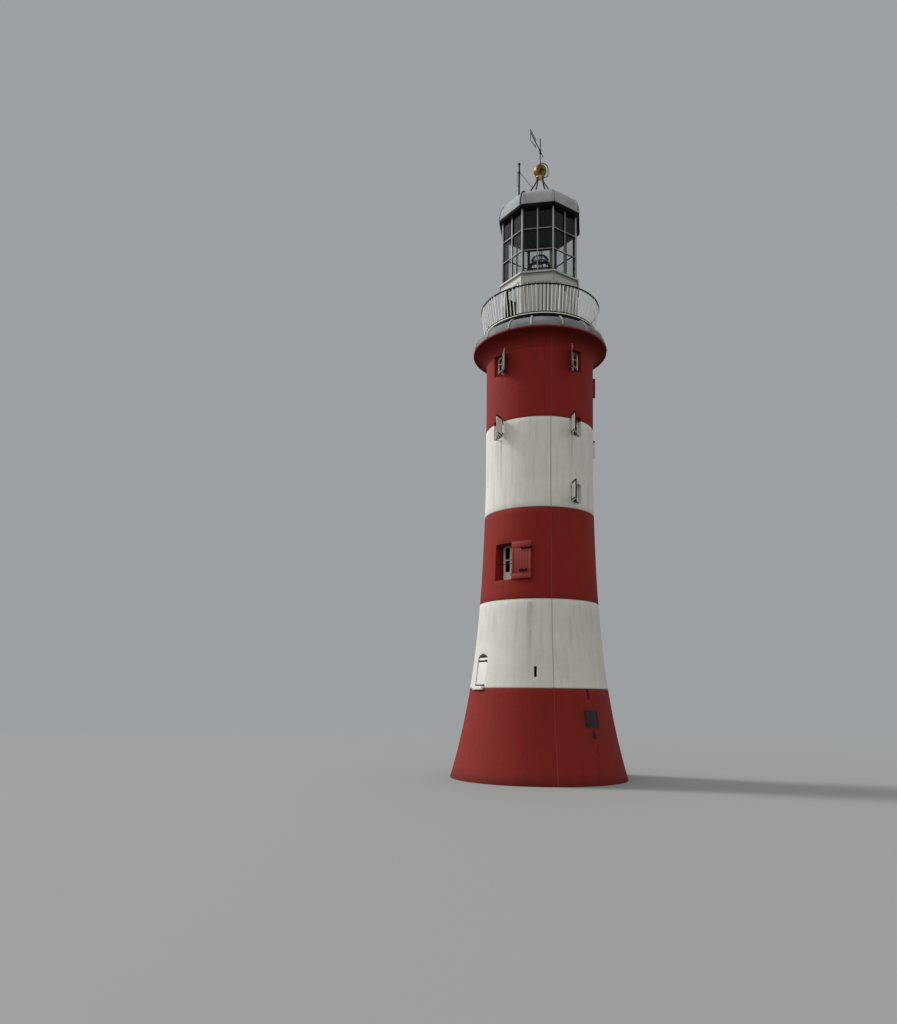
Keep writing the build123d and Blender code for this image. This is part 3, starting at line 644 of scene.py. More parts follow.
rim_radius, rim_high, gallery_level = 2.88, 18.3, 18.86
cove_rise = 0.55
cove = []
for k in range(17):
    turn = radians(90 * k / 16)
    reach = (rim_radius - shaft_radius) * cos(turn)
    cove.append((rim_radius - reach, cornice_foot + cove_rise * sin(turn)))
cove += [(rim_radius, rim_high), (room_radius, rim_high), (room_radius, cornice_foot)]
finish_piece("cornice_painted", bevel(turned(cove), 0.008), red_stone, ["cornice"])

slope = [(rim_radius, rim_high), (2.845, 18.46), (2.76, 18.608), (2.62, 18.76), (2.44, gallery_level)]
slope = eased(slope)
coping = turned(slope + [(room_radius, gallery_level), (room_radius, rim_high)])
finish_piece("coping_sheet", coping, coping_metal, ["coping"])

# %% [markdown]
# Much of this tower repeats round its axis: the coping's raised seams, the railing's posts and
# bars, the dome's hip rolls, the rings' candle cups. One Geometry Nodes tree does all of that.
# It sets a number of points on the axis, stands a copy of the piece on each, and turns each
# copy by its share of the circle. A third number leaves out every so-manieth copy, because the
# bars of a railing stop where a post stands.

# %% Repeat round the axis
def ring_tree():
    """The node group that repeats a piece."""
    tree = bpy.data.node_groups.new("repeat_round_the_axis", "GeometryNodeTree")
    face = tree.interface
    for label, kind in (
        ("Geometry", "NodeSocketGeometry"), ("Count", "NodeSocketInt"), ("First turn", "NodeSocketFloat"),
        ("Leave out every", "NodeSocketInt"), ("Material", "NodeSocketMaterial"),
    ):
        face.new_socket(label, in_out="INPUT", socket_type=kind)
    face.new_socket("Geometry", in_out="OUTPUT", socket_type="NodeSocketGeometry")
    given = add(tree, "NodeGroupInput").outputs
    points = add(tree, "GeometryNodePoints", Count=given["Count"])
    number = add(tree, "GeometryNodeInputIndex")
    step = maths(tree, "DIVIDE", 2 * pi, given["Count"])
    angle = maths(tree, "MULTIPLY_ADD", number, step, given["First turn"])
    turn = add(tree, "FunctionNodeEulerToRotation", add(tree, "CombineXYZ", Z=angle))
    beat = maths(tree, "MODULO", number, given["Leave out every"])
    beat = maths(tree, "GREATER_THAN", beat, 0.5)
    none = maths(tree, "LESS_THAN", given["Leave out every"], 0.5)
    copies = add(
        tree, "GeometryNodeInstanceOnPoints", Points=points, Instance=given["Geometry"],
        Rotation=turn, Selection=maths(tree, "MAXIMUM", beat, none),
    )
    real = add(tree, "GeometryNodeRealizeInstances", copies)
    coat = add(tree, "GeometryNodeSetMaterial", Geometry=real, Material=given["Material"])
    add(tree, "NodeGroupOutput", coat)
    return tree


ring_of = ring_tree()


def repeat(piece, count, finish, first=0.0, leave_out=0):
    """Repeats a piece round the axis; it stands at the front, or at its own azimuth, first."""
    modifier = piece.modifiers.new("ring", "NODES")
    modifier.node_group = ring_of
    values = {"Count": count, "First turn": radians(first), "Leave out every": leave_out}
    values["Material"] = finish
    for item in ring_of.interface.items_tree:
        if item.in_out == "INPUT" and item.name in values:
            modifier[item.identifier] = values[item.name]
    return settle(piece)


def rod(points, radius, sides=10):
    """A round bar that follows a line of points; its radius may be a list with one for each."""
    pts = [Vector(p) for p in points]
    along = (pts[1] - pts[0]).normalized()
    side = along.orthogonal().normalized()
    rings = []
    for i, place in enumerate(pts):
        new_along = (pts[min(i + 1, len(pts) - 1)] - pts[max(i - 1, 0)]).normalized()
        side = along.rotation_difference(new_along) @ side
        along = new_along
        other = along.cross(side)
        thick = radius[i] if isinstance(radius, list) else radius
        rings.append([place + thick * (cos(a) * side + sin(a) * other) for a in turns(sides)])
    return skin(rings)


def bar(width, depth, height, place=(0, 0, 0), turn=Matrix()):
    """A squared bar standing on its place, centred in x and y, then turned by a matrix."""
    w, d = width / 2, depth / 2
    matrix = turn @ Matrix.Translation(place)
    square = ((-w, -d), (w, -d), (w, d), (-w, d))
    return skin([[matrix @ Vector((x, y, z)) for x, y in square] for z in (0, height)])


def upright(azimuth):
    """A turn about the axis."""
    return Matrix.Rotation(radians(azimuth), 4, "Z")


print("the ring tree has", len(ring_of.nodes), "nodes")

# %% [markdown]
# The coping is sixteen sheets. Neighbouring sheets meet in a raised, rounded seam that climbs
# from the rim to the flat, painted paler than the sheets as a painted highlight. One seam, near
# the front, was moved a hand's width to the left when a sheet was renewed; the ring tree makes
# the other fifteen.

# %% Coping seams
seam_line = [Vector((0, -(r + 0.008), z + 0.014)) for r, z in slope[::3]]
seam_line += [Vector((0, -r, gallery_level + 0.012)) for r in (2.3, 1.95)]
seam_radius = 0.034
seams = repeat(rod(seam_line, seam_radius, 12), 16, coping_metal, leave_out=16)
moved = rod([upright(-3.4) @ p for p in seam_line], seam_radius, 12)
finish_piece("coping_seams", joined([seams, moved]), seam_highlight_paint)

# %% [markdown]
# Each window has one board shutter that swings out on its jamb. The shutters are built as
# joiners make them: upright boards with open joints, nailed to two cross ledges, edged and hung
# with iron and held by a stay; the black strip down each hinge edge is painted shade for the gap
# there. The painters took each leaf's outer face along with the wall behind it, so it is white or
# red by its height. Its inner face is white, and in the top row it is painted grey, as painted
# shade for the cornice's shadow.

# %% Shutters
knuckle = 0.028
leaf_back, leaf_face, leaf_front = -0.02, 0.0048, 0.02
iron_half = 0.0225
row_opening = 117
top_openings = {-45: 148, 45: 131, 135: 135, -135: 135}


def leaf_place(azimuth, width, sill, opening):
    """A leaf's side and frame: its hinge line is Z, and closed it lies along X across the opening."""
    side = -1 if azimuth > 0 else 1
    x = width / 2 + knuckle
    spot = Vector((side * x, -sqrt(wall_radius(sill) ** 2 - x ** 2) - knuckle, sill))
    swing = Matrix.Rotation(radians(side * opening), 4, "Z")
    return side, upright(azimuth) @ Matrix.Translation(spot) @ swing


def leaf_part(hinge, start, end, low, high, near, far):
    """A board of a leaf: from start to end off the hinge, low to high, and near to far in depth."""
    side, place = hinge
    spot = (-side * (knuckle + (start + end) / 2), (near + far) / 2, low)
    return bar(end - start, far - near, high - low, spot, place)


def leaf_boards(hinge, count, width, height, gap, near, far):
    """Upright boards side by side with open joints, each a gap short of its share at both edges."""
    edges = [width * i / count for i in range(count + 1)]
    return [leaf_part(hinge, a + gap, b - gap, 0, height, near, far) for a, b in zip(edges, edges[1:])]


windows = [(azimuth, lower_sill, window_height, row_opening) for azimuth in lower_azimuths]
for azimuth in window_azimuths:
    windows.append((azimuth, upper_sill, window_height, row_opening))
    windows.append((azimuth, top_sill, top_window_height, top_openings[azimuth]))
leaves = []
irons = []
for azimuth, sill, height, opening in windows:
    side, place = hinge = leaf_place(azimuth, window_width, sill, opening)
    parts = leaf_boards(hinge, 4, window_width, height, 0.002, leaf_back, leaf_face)
    for low in (0.1, height - 0.2):
        parts.append(leaf_part(hinge, 0.015, window_width - 0.015, low, low + 0.1, leaf_face, leaf_front))
    leaf = bevel(joined(parts), 0.003)
    # The top row's leaves take the darkened paint as painted shade.
    leaf.data.materials.append(top_shutter_shade_paint if sill == top_sill else shutter_wood)
    leaf.data.materials.append(red_wood)
    out = -(place.to_3x3() @ Vector((0, 1, 0)))
    for face in leaf.data.polygons:
        face.material_index = int(face.normal.dot(out) > 0.6 and face.center.z > middle_top)
    leaves.append(leaf)

    # Iron caps the top edge, and on two leaves the free edge too; the black strip down the hinge edge is
    # painted shade for the gap between leaf and wall.
    cap_low = height - (0.02 if sill == top_sill else 0.07)
    edges = [(0, window_width, cap_low, height + 0.004), (-0.004, 0.03, 0.0, height)]
    if azimuth == 45 and opening == row_opening:
        edges.append((window_width - 0.025, window_width + 0.003, 0.0, height))
    irons += [leaf_part(hinge, *edge, -iron_half, iron_half) for edge in edges]
    for low in (0.045, height - 0.05):
        irons.append(leaf_part(hinge, -knuckle, 0.42, low, low + 0.055, -0.026, -0.019))
        tip = [place @ Vector((-side * (knuckle + end), -0.023, low + 0.021)) for end in (0.42, 0.47)]
        irons.append(rod(tip, [0.03, 0.006], 8))
    catch = place @ Vector((-side * 0.34, -0.024, 0.06))
    hook = upright(azimuth) @ Vector((-side * window_width * 0.3, -shaft_radius + 0.03, sill + 0.012))
    sag = catch.lerp(hook, 0.5) + Vector((0, 0, -0.02))
    irons.append(rod([catch, sag, hook], 0.022, 8))
finish_piece("shutter_boards", joined(leaves), None, ["shutters"])
assembled("shutter_irons", irons, 0.002, black_iron, segments=1)

# %% [markdown]
# The entrance is a narrow plank door high in the wall, reached by a ladder that isn't part of
# the tower. The leaf leans with the wall, stops at the spring of its arch and leaves the head
# open and dark. Two iron bars cross it, one near the top and one at the sill. The door is made
# upright in a frame of its own, and the frame's tilt makes it lean.

# %% Entrance door
door_sunk = 0.07
door_foot, door_head = wall_radius(door_sill) - door_sunk, wall_radius(door_spring) - door_sunk
door_height = door_spring - door_sill
door_lean = atan2(door_foot - door_head, door_height)
door_slope = door_height / cos(door_lean)
door_place = upright(door_azimuth) @ Matrix.Translation((0, -door_foot, door_sill))
door_place = door_place @ Matrix.Rotation(-door_lean, 4, "X")
plank = door_width / 6
middles = [(i - 2.5) * plank for i in range(6)]
planks = [bar(plank - 0.005, 0.055, door_slope, (x, 0.0275, 0), door_place) for x in middles]
assembled("entrance_door_planks", planks, 0.003, white_boards, ["entrance_door"])

parts = []
for level in (0.002, door_slope - 0.16):
    parts.append(bar(door_width + 0.002, 0.024, 0.06, (0, -0.012, level), door_place))
    knob = [door_place @ Vector((0.36, -reach, level + 0.03)) for reach in (0.0, 0.06, 0.1)]
    parts.append(rod(knob, [0.022, 0.034, 0.026], 12))
assembled("entrance_door_bars", parts, 0.004, black_iron)

# %% [markdown]
# The store opening is a tall hatch through which goods were hoisted. One heavy outer leaf in
# the red of its band is folded back flat against the wall. What shows is its inner face: a deep
# top rail and a bottom rail over boards laid tight, with two black bolts across the boards.

# %% Store leaf
store_height = store_head - store_sill
stile = 0.08
rail_high, rail_foot = 0.2, store_height - 0.25
hinge = leaf_place(store_azimuth, store_width, store_sill, 192)
parts = leaf_boards(hinge, 7, store_width, store_height, 0.001, -0.025, 0.014)
for span in (
    (0, store_width, 0, rail_high), (0, store_width, rail_foot, store_height),
    (0, stile, rail_high, rail_foot), (store_width - stile, store_width, rail_high, rail_foot),
):
    parts.append(leaf_part(hinge, *span, 0.014, 0.022))
assembled("store_outer_leaf", parts, 0.0025, red_wood, ["store_leaf"])

parts = []
for low, start, end in ((1.2, 0.4, 0.93), (0.3, 0.34, 0.68)):
    parts.append(leaf_part(hinge, start, end, low, low + 0.05, 0.02, 0.06))
    for share in (0.05, 0.35, 0.8):
        x = start + (end - start) * share
        parts.append(leaf_part(hinge, x, x + 0.05, low - 0.02, low + 0.085, 0.02, 0.064))
assembled("store_leaf_bolts", parts, 0.003, black_paint_and_shade)

# %% [markdown]
# Low on the right of the base are three small fittings: a square dark plate, an oval boss under
# it and a little painted hatch. The wall there is both round and sloping, so each is made lying
# flat and then set on the wall by a frame whose axes run along the wall, up its slope and out
# of it. The plate is left bare, with a raised border and four round bolt heads.

# %% Fittings on the base
def on_wall(azimuth, z):
    """A frame on the shaft's face: x along the wall, y up its slope, z out of it."""
    rise = 0.01
    up_wall = Vector((0, -(wall_radius(z + rise) - wall_radius(z - rise)), 2 * rise)).normalized()
    along = Vector((1, 0, 0))
    axes = Matrix((along, up_wall, along.cross(up_wall))).transposed().to_4x4()
    axes.translation = (0, -wall_radius(z), z)
    return upright(azimuth) @ axes


def dome_head(half_width, half_height, low, high, place, x=0.0, y=0.0):
    """A rounded head or boss: rings of an ellipse that close over a flat crown."""
    rings = []
    for turn in [pi / 2 * i / 7 for i in range(7)]:
        w, h, z = half_width * cos(turn), half_height * cos(turn), low + (high - low) * sin(turn)
        rings.append([place @ Vector((x + w * cos(a), y + h * sin(a), z)) for a in turns(24)])
    return skin(rings)


plate_place = on_wall(45.2, 2.55)
plate_size, border = 0.66, 0.032
edge = (plate_size - border) / 2
parts = [bar(plate_size, plate_size, 0.052, (0, 0, -0.03), plate_place)]
for side in (1, -1):
    parts.append(bar(plate_size, border, 0.03, (0, side * edge, 0), plate_place))
for side in (1, -1):
    parts.append(bar(border, plate_size, 0.03, (side * edge, 0, 0), plate_place))
parts = [bevel(joined(parts), 0.003)]
bolt = edge - 0.045
for x in (-bolt, bolt):
    parts += [dome_head(0.016, 0.016, 0.018, 0.034, plate_place, x, y) for y in (-bolt, bolt)]
finish_piece("base_plate", joined(parts), dark_bronze)
boss = dome_head(0.12, 0.18, -0.02, 0.06, on_wall(45.6, 1.93))
finish_piece("base_oval_boss", boss, dark_bronze)

hatch_place = on_wall(45.2, 1.4)
parts = [
    bar(0.23, 0.34, 0.028, (0, 0, -0.02), hatch_place),
    bar(0.19, 0.3, 0.036, (0, 0, -0.02), hatch_place),
    bar(0.02, 0.07, 0.03, (0.06, 0, 0), hatch_place),
]
assembled("base_hatch", parts, 0.003, red_stone)

# %% [markdown]
# A flat metal strip runs down the whole front of the tower, a little right of the middle, to
# lead lightning to the ground. It has been painted over with every band it crosses; its paint is
# greyer than the white bands and darker than the red ones as painted shadow, so it shows as a thin
# dark line. It is a ribbon swept along the wall's own outline, under the cove too.

# %% Conductor strip
strip_turn = upright(15.3)
strip_half, strip_depth = 0.015, 0.009
levels = [0.03 + 0.25 * k for k in range(71)]
line = [(wall_radius(z), z) for z in levels if z < cornice_foot] + cove[:14]
section = ((-1, -0.003), (1, -0.003), (1, strip_depth), (-1, strip_depth))
rings = []
for i, (r, z) in enumerate(line):
    r0, z0 = line[max(i - 1, 0)]
    r1, z1 = line[min(i + 1, len(line) - 1)]
    out = Vector((0, -(z1 - z0), -(r1 - r0))).normalized()
    rings.append([strip_turn @ (Vector((x * strip_half, -r, z)) + out * lift) for x, lift in section])
strip = skin(rings)
# The strip's paints are greyer and darker than their bands, as painted shadow along the strip.
strip.data.materials.append(strip_shadow_grey)
strip.data.materials.append(strip_shadow_red)
for face in strip.data.polygons:
    z = face.center.z
    face.material_index = 0 if base_top < z < entrance_top or store_top < z < middle_top else 1
finish_piece("conductor_strip", strip, None)

# %% [markdown]
# The gallery railing leans outwards a little. Sixteen posts carry a foot ring close over the
# coping and a thin dark handrail, and five bars stand between two posts. The bars all lean with
# the posts, so one bar is made at the front, leaning, and the ring tree turns it round the axis.

# %% Railing
foot_radius, top_radius = 2.37, 2.545
foot_low, foot_high = 19.0, 19.1
rail_low, rail_top = 20.16, 20.215
lean = atan2(top_radius - foot_radius, rail_low - foot_high)


def leaning(width, depth, low, high):
    """A squared bar at the front that leans out with the railing."""
    radius = foot_radius + (low - foot_high) * tan(lean)
    foot = Matrix.Translation((0, -radius, low)) @ Matrix.Rotation(lean, 4, "X")
    return bar(width, depth, (high - low) / cos(lean), turn=foot)


def hoop(radius, width, low, high, edge_width, steps=160):
    """A turned ring of oblong section."""
    inner, outer = radius - width / 2, radius + width / 2
    return bevel(turned([(inner, low), (outer, low), (outer, high), (inner, high)], steps), edge_width)


post = bevel(joined([
    leaning(0.042, 0.042, gallery_level - 0.02, rail_low + 0.01),
    leaning(0.1, 0.1, gallery_level - 0.03, gallery_level + 0.035),
    leaning(0.07, 0.09, foot_low - 0.01, foot_high + 0.02),
]), 0.004)
baluster = bevel(leaning(0.033, 0.026, foot_high - 0.01, rail_low + 0.01), 0.004, 1)
ring_foot, ring_top = foot_low + 0.022, foot_high - 0.034
foot_ring = hoop(foot_radius, 0.084, ring_foot, ring_top, 0.006)
handrail = hoop(top_radius, 0.06, rail_low, rail_top, 0.016)
# The black flat under the foot ring stands as painted shadow for the gap beneath the ring; the flat over
# it is black paint.
flat_and_shadow_band = joined([
    hoop(foot_radius, 0.094, ring_top, foot_high + 0.008, 0.004),
    hoop(foot_radius + 0.01, 0.07, gallery_level - 0.005, ring_foot, 0.004),
])
for name, piece, paint, slot, node in (
    ("railing_posts_iron", repeat(post, 16, white_iron), white_iron, "white_iron", "railing_posts"),
    ("railing_bars", repeat(baluster, 96, white_iron, 0.0, 6), white_iron, "white_iron", "railing_panels"),
    ("railing_foot_ring", foot_ring, white_iron, "white_iron", "railing_panels"),
    ("railing_foot_flat_and_shadow_band", flat_and_shadow_band, black_paint_and_shade, "black_iron", "railing_panels"),
    ("railing_handrail", handrail, black_paint_and_shade, "black_iron", "railing_panels"),
):
    finish_piece(name, piece, paint, [node])

# %% [markdown]
# The lantern stands on an eight-sided wall of upright boards, with one flat side to the front
# and a door in the side to the left of it. The CAD wall stays behind as the frame; the boards,
# the corner boards, the skirting and the frieze are laid on its faces, and the ring tree turns
# seven of the sides. The side with the door is made on its own, because its boards stop at it.
# Two small vents sit under the sill on the right of the front.

# %% Lantern wall
hip = 22.5
wall_corner = 1.75
side_half = wall_corner * sin(radians(hip))
wall_face = wall_corner * cos(radians(hip))
wall_top = 21.05
door_half, door_top, jamb = 0.39, 20.82, 0.08
board_count = 9
skirting, frieze = 0.14, 0.27
board_pitch = 2 * side_half / board_count
board_gap, board_proud, corner_board = 0.034, 0.012, 0.09


def clad_side(door):
    """Boards, corner boards, skirting and frieze of one side, with room for a door if it has one."""
    parts = []

    def lay(middle, low, high, width, depth, proud):
        parts.append(bar(width, depth, high - low, (middle, -wall_face - proud, low)))

    for i in range(board_count):
        middle = (i + 0.5) * board_pitch - side_half
        low = door_top if door and abs(middle) < door_half else gallery_level
        lay(middle, low, wall_top, board_pitch - board_gap, 2 * board_proud, 0)
    for side in (-1, 1):
        lay(side * (side_half - corner_board / 2), gallery_level, wall_top, corner_board, 0.028, 0.008)
        if door:
            lay(side * (door_half + jamb / 2), gallery_level, door_top + jamb, jamb, 0.03, 0.008)
    deep = wall_top - door_top - 0.02 if door else frieze
    lay(0, wall_top - deep, wall_top, 2 * side_half, 0.034, 0.006)
    spans = [(-side_half, side_half)]
    if door:
        lay(0, door_top, door_top + jamb, 2 * door_half, 0.036, 0.008)
        spans = [(-side_half, -door_half - jamb), (door_half + jamb, side_half)]
    for start, end in spans:
        lay((start + end) / 2, gallery_level, gallery_level + skirting, end - start, 0.036, 0.01)
    return bevel(joined(parts), 0.003, 1)


# The open joints between the boards show the black frame behind, as painted shade.
plain_sides = repeat(clad_side(False), 8, lantern_wood, -45, 8)
door_side = clad_side(True)
door_side.data.transform(upright(-45))
cladding = joined([plain_sides, door_side])
finish_piece("lantern_wall_cladding", cladding, lantern_wood, ["lantern_wall"])

vents = [
    bar(width, 0.024, 0.24, (x, -wall_face - board_proud, low), upright(45))
    for x, width, low in ((-0.045, 0.095, 20.5), (0.085, 0.07, 20.46))
]
assembled("lantern_vents", vents, 0.003, black_iron, segments=1)

# %% [markdown]
# Over the wall comes the sill: a thin upstand painted black as painted shadow under the glazing,
# a nosing, and a bed under it that is painted duller as painted shade, except on the sunlit left
# side. Then come the glazing's posts, the middle mullions and two rows of transoms, painted white
# outside, and black inside and on their sides as painted shade. They are flat and square in the
# CAD model too, so those meshes are merged and given small round arrises. Behind each post stands
# an iron stanchion, which shows as a black line beside it.

# %% Lantern sill and glazing
def octagon(radius, z):
    """The corners of an eight-sided level."""
    return [polar(radius, radians(hip + 45 * k), z) for k in range(8)]


def paint_shaded_faces_black(piece, outside, tilt):
    """Outward faces keep their paint; all others are painted black as painted shade."""
    piece.data.materials.clear()
    piece.data.materials.append(outside)
    piece.data.materials.append(black_paint_and_shade)
    for face in piece.data.polygons:
        side = round(degrees(atan2(face.center.x, -face.center.y)) / 45) * 45
        out = Vector(polar(1, radians(side), 0))
        face.material_index = 0 if face.normal.dot(out) > tilt else 1


sill = skin([octagon(radius, z) for radius, z in (
    (1.6, 21.03), (1.6, 21.29), (1.765, 21.29), (1.77, 21.285), (1.77, 21.245), (1.83, 21.24),
    (1.836, 21.233), (1.836, 21.165), (1.83, 21.158), (1.785, 21.154), (1.765, 21.03),
)], closed=True)
upstand_foot, nose_foot, sunlit_x = 21.243, 21.157, -1.0
paint_shaded_faces_black(sill, lantern_wood, -0.2)
# The upstand is painted black as painted shadow; the bed is painted duller as painted shade, except on the
# sunlit left side.
sill.data.materials.append(sill_shade_paint)
for face in sill.data.polygons:
    middle = face.center
    if middle.z > upstand_foot:
        face.material_index = 1
    elif middle.z < nose_foot and face.material_index == 0 and middle.x > sunlit_x:
        face.material_index = 2
finish_piece("lantern_sill_moulding", sill, None, ["lantern_sill"])
for name, node, width, paint in (
    ("lantern_posts_wood", "lantern_posts", 0.005, lantern_wood),
    ("lantern_bars_wood", "lantern_glazing_bars", 0.003, bar_wood),
):
    piece = dressed(node, width)
    paint_shaded_faces_black(piece, paint, 0.35)
    finish_piece(name, piece, None, [node])
stanchion_foot, stanchion_top = 21.27, 24.1
stanchion = bevel(bar(0.09, 0.07, stanchion_top - stanchion_foot, (0, -1.61, stanchion_foot)), 0.006)
stanchion.data.transform(upright(hip))
finish_piece("lantern_stanchions", repeat(stanchion, 8, black_iron), black_iron)

# %% [markdown]
# In the lantern hang the candle rings of the first lighthouse keepers: two iron hoops with cross
# arms, on a middle rod and two outer ones. Scrolls join the hoops, and the lower one carries
# cups with candles. The scroll, the cup and the candle are made once and turned by the ring tree.

# %% Candle rings
upper_ring, lower_ring = (0.34, 22.65), (0.43, 22.28)
ring_radius, ring_level = lower_ring
ceiling_low = 24.15


def scroll_points(start, end, size):
    """A flat S-scroll in the plane x = 0, from one (reach, height) to the other."""
    points = []
    for k in range(-14, 33):
        share = min(max(k / 18, 0.0), 1.0)
        over = k if k < 0 else max(0, k - 18)
        turn = over / 14 * 1.5 * pi
        curl = size * (1 - abs(over) / 20) if over else 0.0
        reach = start[0] + (end[0] - start[0]) * share + curl * sin(turn) + 0.03 * sin(2 * pi * share)
        z = start[1] + (end[1] - start[1]) * share
        points.append((0, -reach, z + curl * (1 - cos(turn)) * (1 if k > 18 else -1)))
    return points


parts = [rod([(0, 0, ring_level - 0.03), (0, 0, ceiling_low)], 0.022, 12)]
for x in (-0.455, 0.455):
    parts.append(rod([(x, 0, ring_level - 0.02), (x, 0, ceiling_low)], 0.026, 12))
    parts.append(rod([(x, 0, ring_level), (x * 0.9, 0, ring_level)], 0.02, 8))
for radius, z in (upper_ring, lower_ring):
    parts.append(hoop(radius, 0.026, z - 0.038, z + 0.038, 0.003, 64))
    parts += [bar(2 * radius, 0.03, 0.03, (0, 0, z - 0.015), upright(azimuth)) for azimuth in (0, 90)]
scroll = rod(scroll_points(upper_ring, lower_ring, 0.06), 0.017, 8)
parts.append(repeat(scroll, 12, black_iron, 15))
cup = turned([(0, 0.02), (0.02, 0.02), (0.02, 0.05), (0.062, 0.07), (0.062, 0.084), (0, 0.084)], 16)
candle = turned([(0, 0.07), (0.019, 0.07), (0.019, 0.19), (0.012, 0.197), (0, 0.2)], 12)
for piece in (cup, candle):
    piece.data.transform(Matrix.Translation((0, -ring_radius, ring_level)))
parts.append(repeat(cup, 12, black_iron))
finish_piece("candle_rings_iron", joined(parts), black_iron, ["candle_rings"])
finish_piece("candles_wax", repeat(candle, 12, wax), wax)

# %% [markdown]
# The dome is a faceted vault: eight curved sheets that meet in sharp hips over the eaves and run
# together into one round crown. So the outline of each level is eight-sided at the foot and
# nearly a circle near the top. The surface is a grid: its rows follow the vault's profile, its
# columns go round it, and the share of roundness grows from row to row. Dark lead rolls cover
# the hips, and on one of them lies the thick conductor cable.

# %% Dome
eaves_radius, eaves_high, dome_rise = 1.87, 24.18, 1.01
dome_run = eaves_radius * cos(radians(hip))
profile = [(1.0, 0.0), (0.982, 0.235), (0.955, 0.45), (0.9, 0.62), (0.8, 0.745), (0.66, 0.845)]
dome_lines = eased(profile + [(0.5, 0.915), (0.34, 0.96), (0.18, 0.99), (0.03, 1.0)], 5)
dome_columns = 48


def dome_point(angle, share, rise, lift=0.0):
    """A point of the vault: eight-sided at the eaves, nearly round from a third of the way in."""
    side = round(degrees(angle) / 45) * 45
    flat = 1 / cos(angle - radians(side))
    roundness = 0.9 * min(1.0, (1 - share) / 0.35)
    radius = dome_run * share * (flat * (1 - roundness) + 1.04 * roundness) + lift
    return polar(radius, angle, eaves_high + dome_rise * rise + lift * 0.6)


angles = [2 * pi * (k + 0.5) / dome_columns - pi for k in range(dome_columns)]
dome = skin([[dome_point(angle, share, rise) for angle in angles] for share, rise in dome_lines])
finish_piece("lantern_dome_sheet", dome, dome_metal, ["lantern_dome"], smooth=16)

hip_line = [dome_point(radians(hip), share, rise, 0.002) for share, rise in dome_lines if share > 0.45]
rolls = repeat(rod(hip_line, 0.013, 8), 8, roll_paint)
finish_piece("dome_hip_rolls", rolls, roll_paint)
cable_line = [dome_point(radians(-hip), share, rise, 0.02) for share, rise in dome_lines if share > 0.3]
finish_piece("dome_cable", rod(cable_line, 0.03, 10), black_iron)

# %% [markdown]
# On the dome stands the vane: four thin legs that curve in to a gilded collar, a gilded ball on
# it, the long spindle, and the vane itself with a pointer at one end and a pierced banner at the
# other. A flag pole rises beside it. The thinnest irons get a coat of paint that makes them a
# few millimetres thicker, and the feet on the dome reach down to its sheet.

# %% Vane and pole
ball_radius, ball_level = 0.282, 26.7297
slopes = [pi * (k / 32 - 0.5) for k in range(33)]
ball = turned([(ball_radius * cos(a), ball_level + ball_radius * sin(a)) for a in slopes], 72)
finish_piece("vane_ball_gilt", ball, gilding, ["vane_ball"])
collar = [(0.0, 26.4), (0.17, 26.4), (0.185, 26.415), (0.185, 26.455), (0.17, 26.47), (0.0, 26.47)]
finish_piece("vane_collar_gilt", turned(collar, 72), bright_gilding, ["vane_stand_collar"])
for name, node, coat, drop in (
    ("vane_legs_iron", "vane_stand_legs", 0.003, 0.07),
    ("vane_spindle_iron", "vane_spindle", 0.0, 0.0),
    ("conductor_loop_iron", "conductor_loop", 0.007, 0.0),
    ("signal_pole_iron", "signal_pole", 0.0, 0.11),
    ("pole_stay_iron", "pole_stay", 0.005, 0.0),
):
    piece = dressed(node)
    corners = piece.data.vertices
    foot = min(corner.co.z for corner in corners) + 0.025
    for corner in corners:
        if corner.co.z < foot:
            corner.co.z -= drop
    normals = [corner.normal.copy() for corner in corners]
    for corner, normal in zip(corners, normals):
        corner.co += normal * coat
    finish_piece(name, piece, black_iron, [node])

# %% [markdown]
# The studio. A pale floor runs far out and fades into the backdrop's own grey, so that no
# horizon shows. To every ray but the camera's the floor is dark, so that no light bounces up
# under the cornice, as none does from grass. The world is the pale grey for the camera, for
# reflections and through glass, and a weaker white as light. The key stands on the far left, a
# little behind the tower: it brightens the left limb, falls off quickly round the drum and
# throws the rim's shadow on the wall. A wide lamp on the same side stands for the bright sky
# about it and softens its edge. A weak, wide fill at the front lifts the shade; it leaves no
# glint on the iron, and none of the lamps shows through the glass.

# %% Floor and light
backdrop = "#9DA0A3"


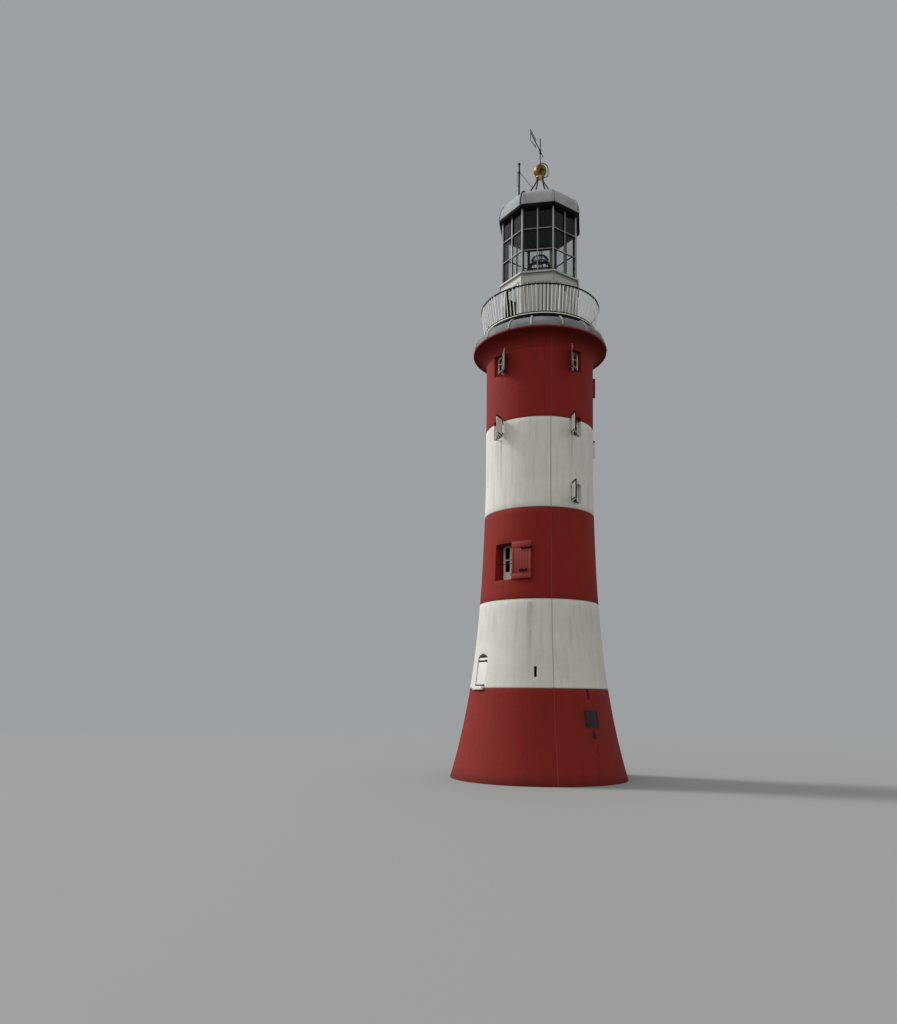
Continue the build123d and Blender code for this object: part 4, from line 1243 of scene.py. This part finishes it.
def seen_directly(tree):
    """One for the camera's rays and for those that metal or glass sends on, else nought."""
    rays = add(tree, "LightPath").outputs
    seen = maths(tree, "MAXIMUM", rays["Is Camera Ray"], rays["Is Glossy Ray"])
    return maths(tree, "MAXIMUM", seen, rays["Is Transmission Ray"])


floor_rings = (0.0, 4, 8, 16, 32, 64, 128, 256, 512, 900)
floor = skin([[polar(radius, a, 0) for a in turns(96)] for radius in floor_rings], ends=False)
floor.name = floor.data.name = "studio_floor"
floor_paint, tree, shader, place = blank_material("studio_floor_paint", 0.9)
seen = seen_directly(tree)
tree.links.new(mix(tree, seen, "#333332", "#8C8D8C"), shader.inputs["Base Color"])
far = add(tree, "VectorMath", place, operation="LENGTH").outputs["Value"]
far = maths(tree, "MULTIPLY", ramp(tree, far, 12.0, 60.0), seen)
glow = add(tree, "Emission", Color=backdrop, Strength=1.0)
blend = add(tree, "MixShader", far, shader, glow)
tree.links.new(blend.outputs[0], tree.nodes["Material Output"].inputs["Surface"])
floor.data.materials.append(floor_paint)

world = bpy.data.worlds.new("studio")
bpy.context.scene.world = world
world.use_nodes = True
tree = world.node_tree
ambient = tree.nodes["Background"]
ambient.inputs["Color"].default_value = (1, 1, 1, 1)
ambient.inputs["Strength"].default_value = 0.64
backing = add(tree, "Background", Color=backdrop, Strength=1.0)
blend = add(tree, "MixShader", seen_directly(tree), ambient, backing)
tree.links.new(blend.outputs[0], tree.nodes["World Output"].inputs["Surface"])

for name, azimuth, elevation, strength, spread in (
    ("key", -100, 40, 2.2, 12), ("sky", -94, 30, 0.5, 54), ("fill", -8, 35, 0.34, 60),
):
    lamp = bpy.data.lights.new(name, "SUN")
    lamp.energy = strength
    lamp.angle = radians(spread)
    holder = bpy.data.objects.new(name, lamp)
    holder.visible_glossy = name != "fill"
    holder.visible_transmission = False
    bpy.context.scene.collection.objects.link(holder)
    rise = radians(elevation)
    towards = Vector(polar(cos(rise), radians(azimuth), sin(rise)))
    holder.rotation_euler = towards.to_track_quat("Z", "Y").to_euler()

bpy.context.scene.view_settings.view_transform = "Standard"
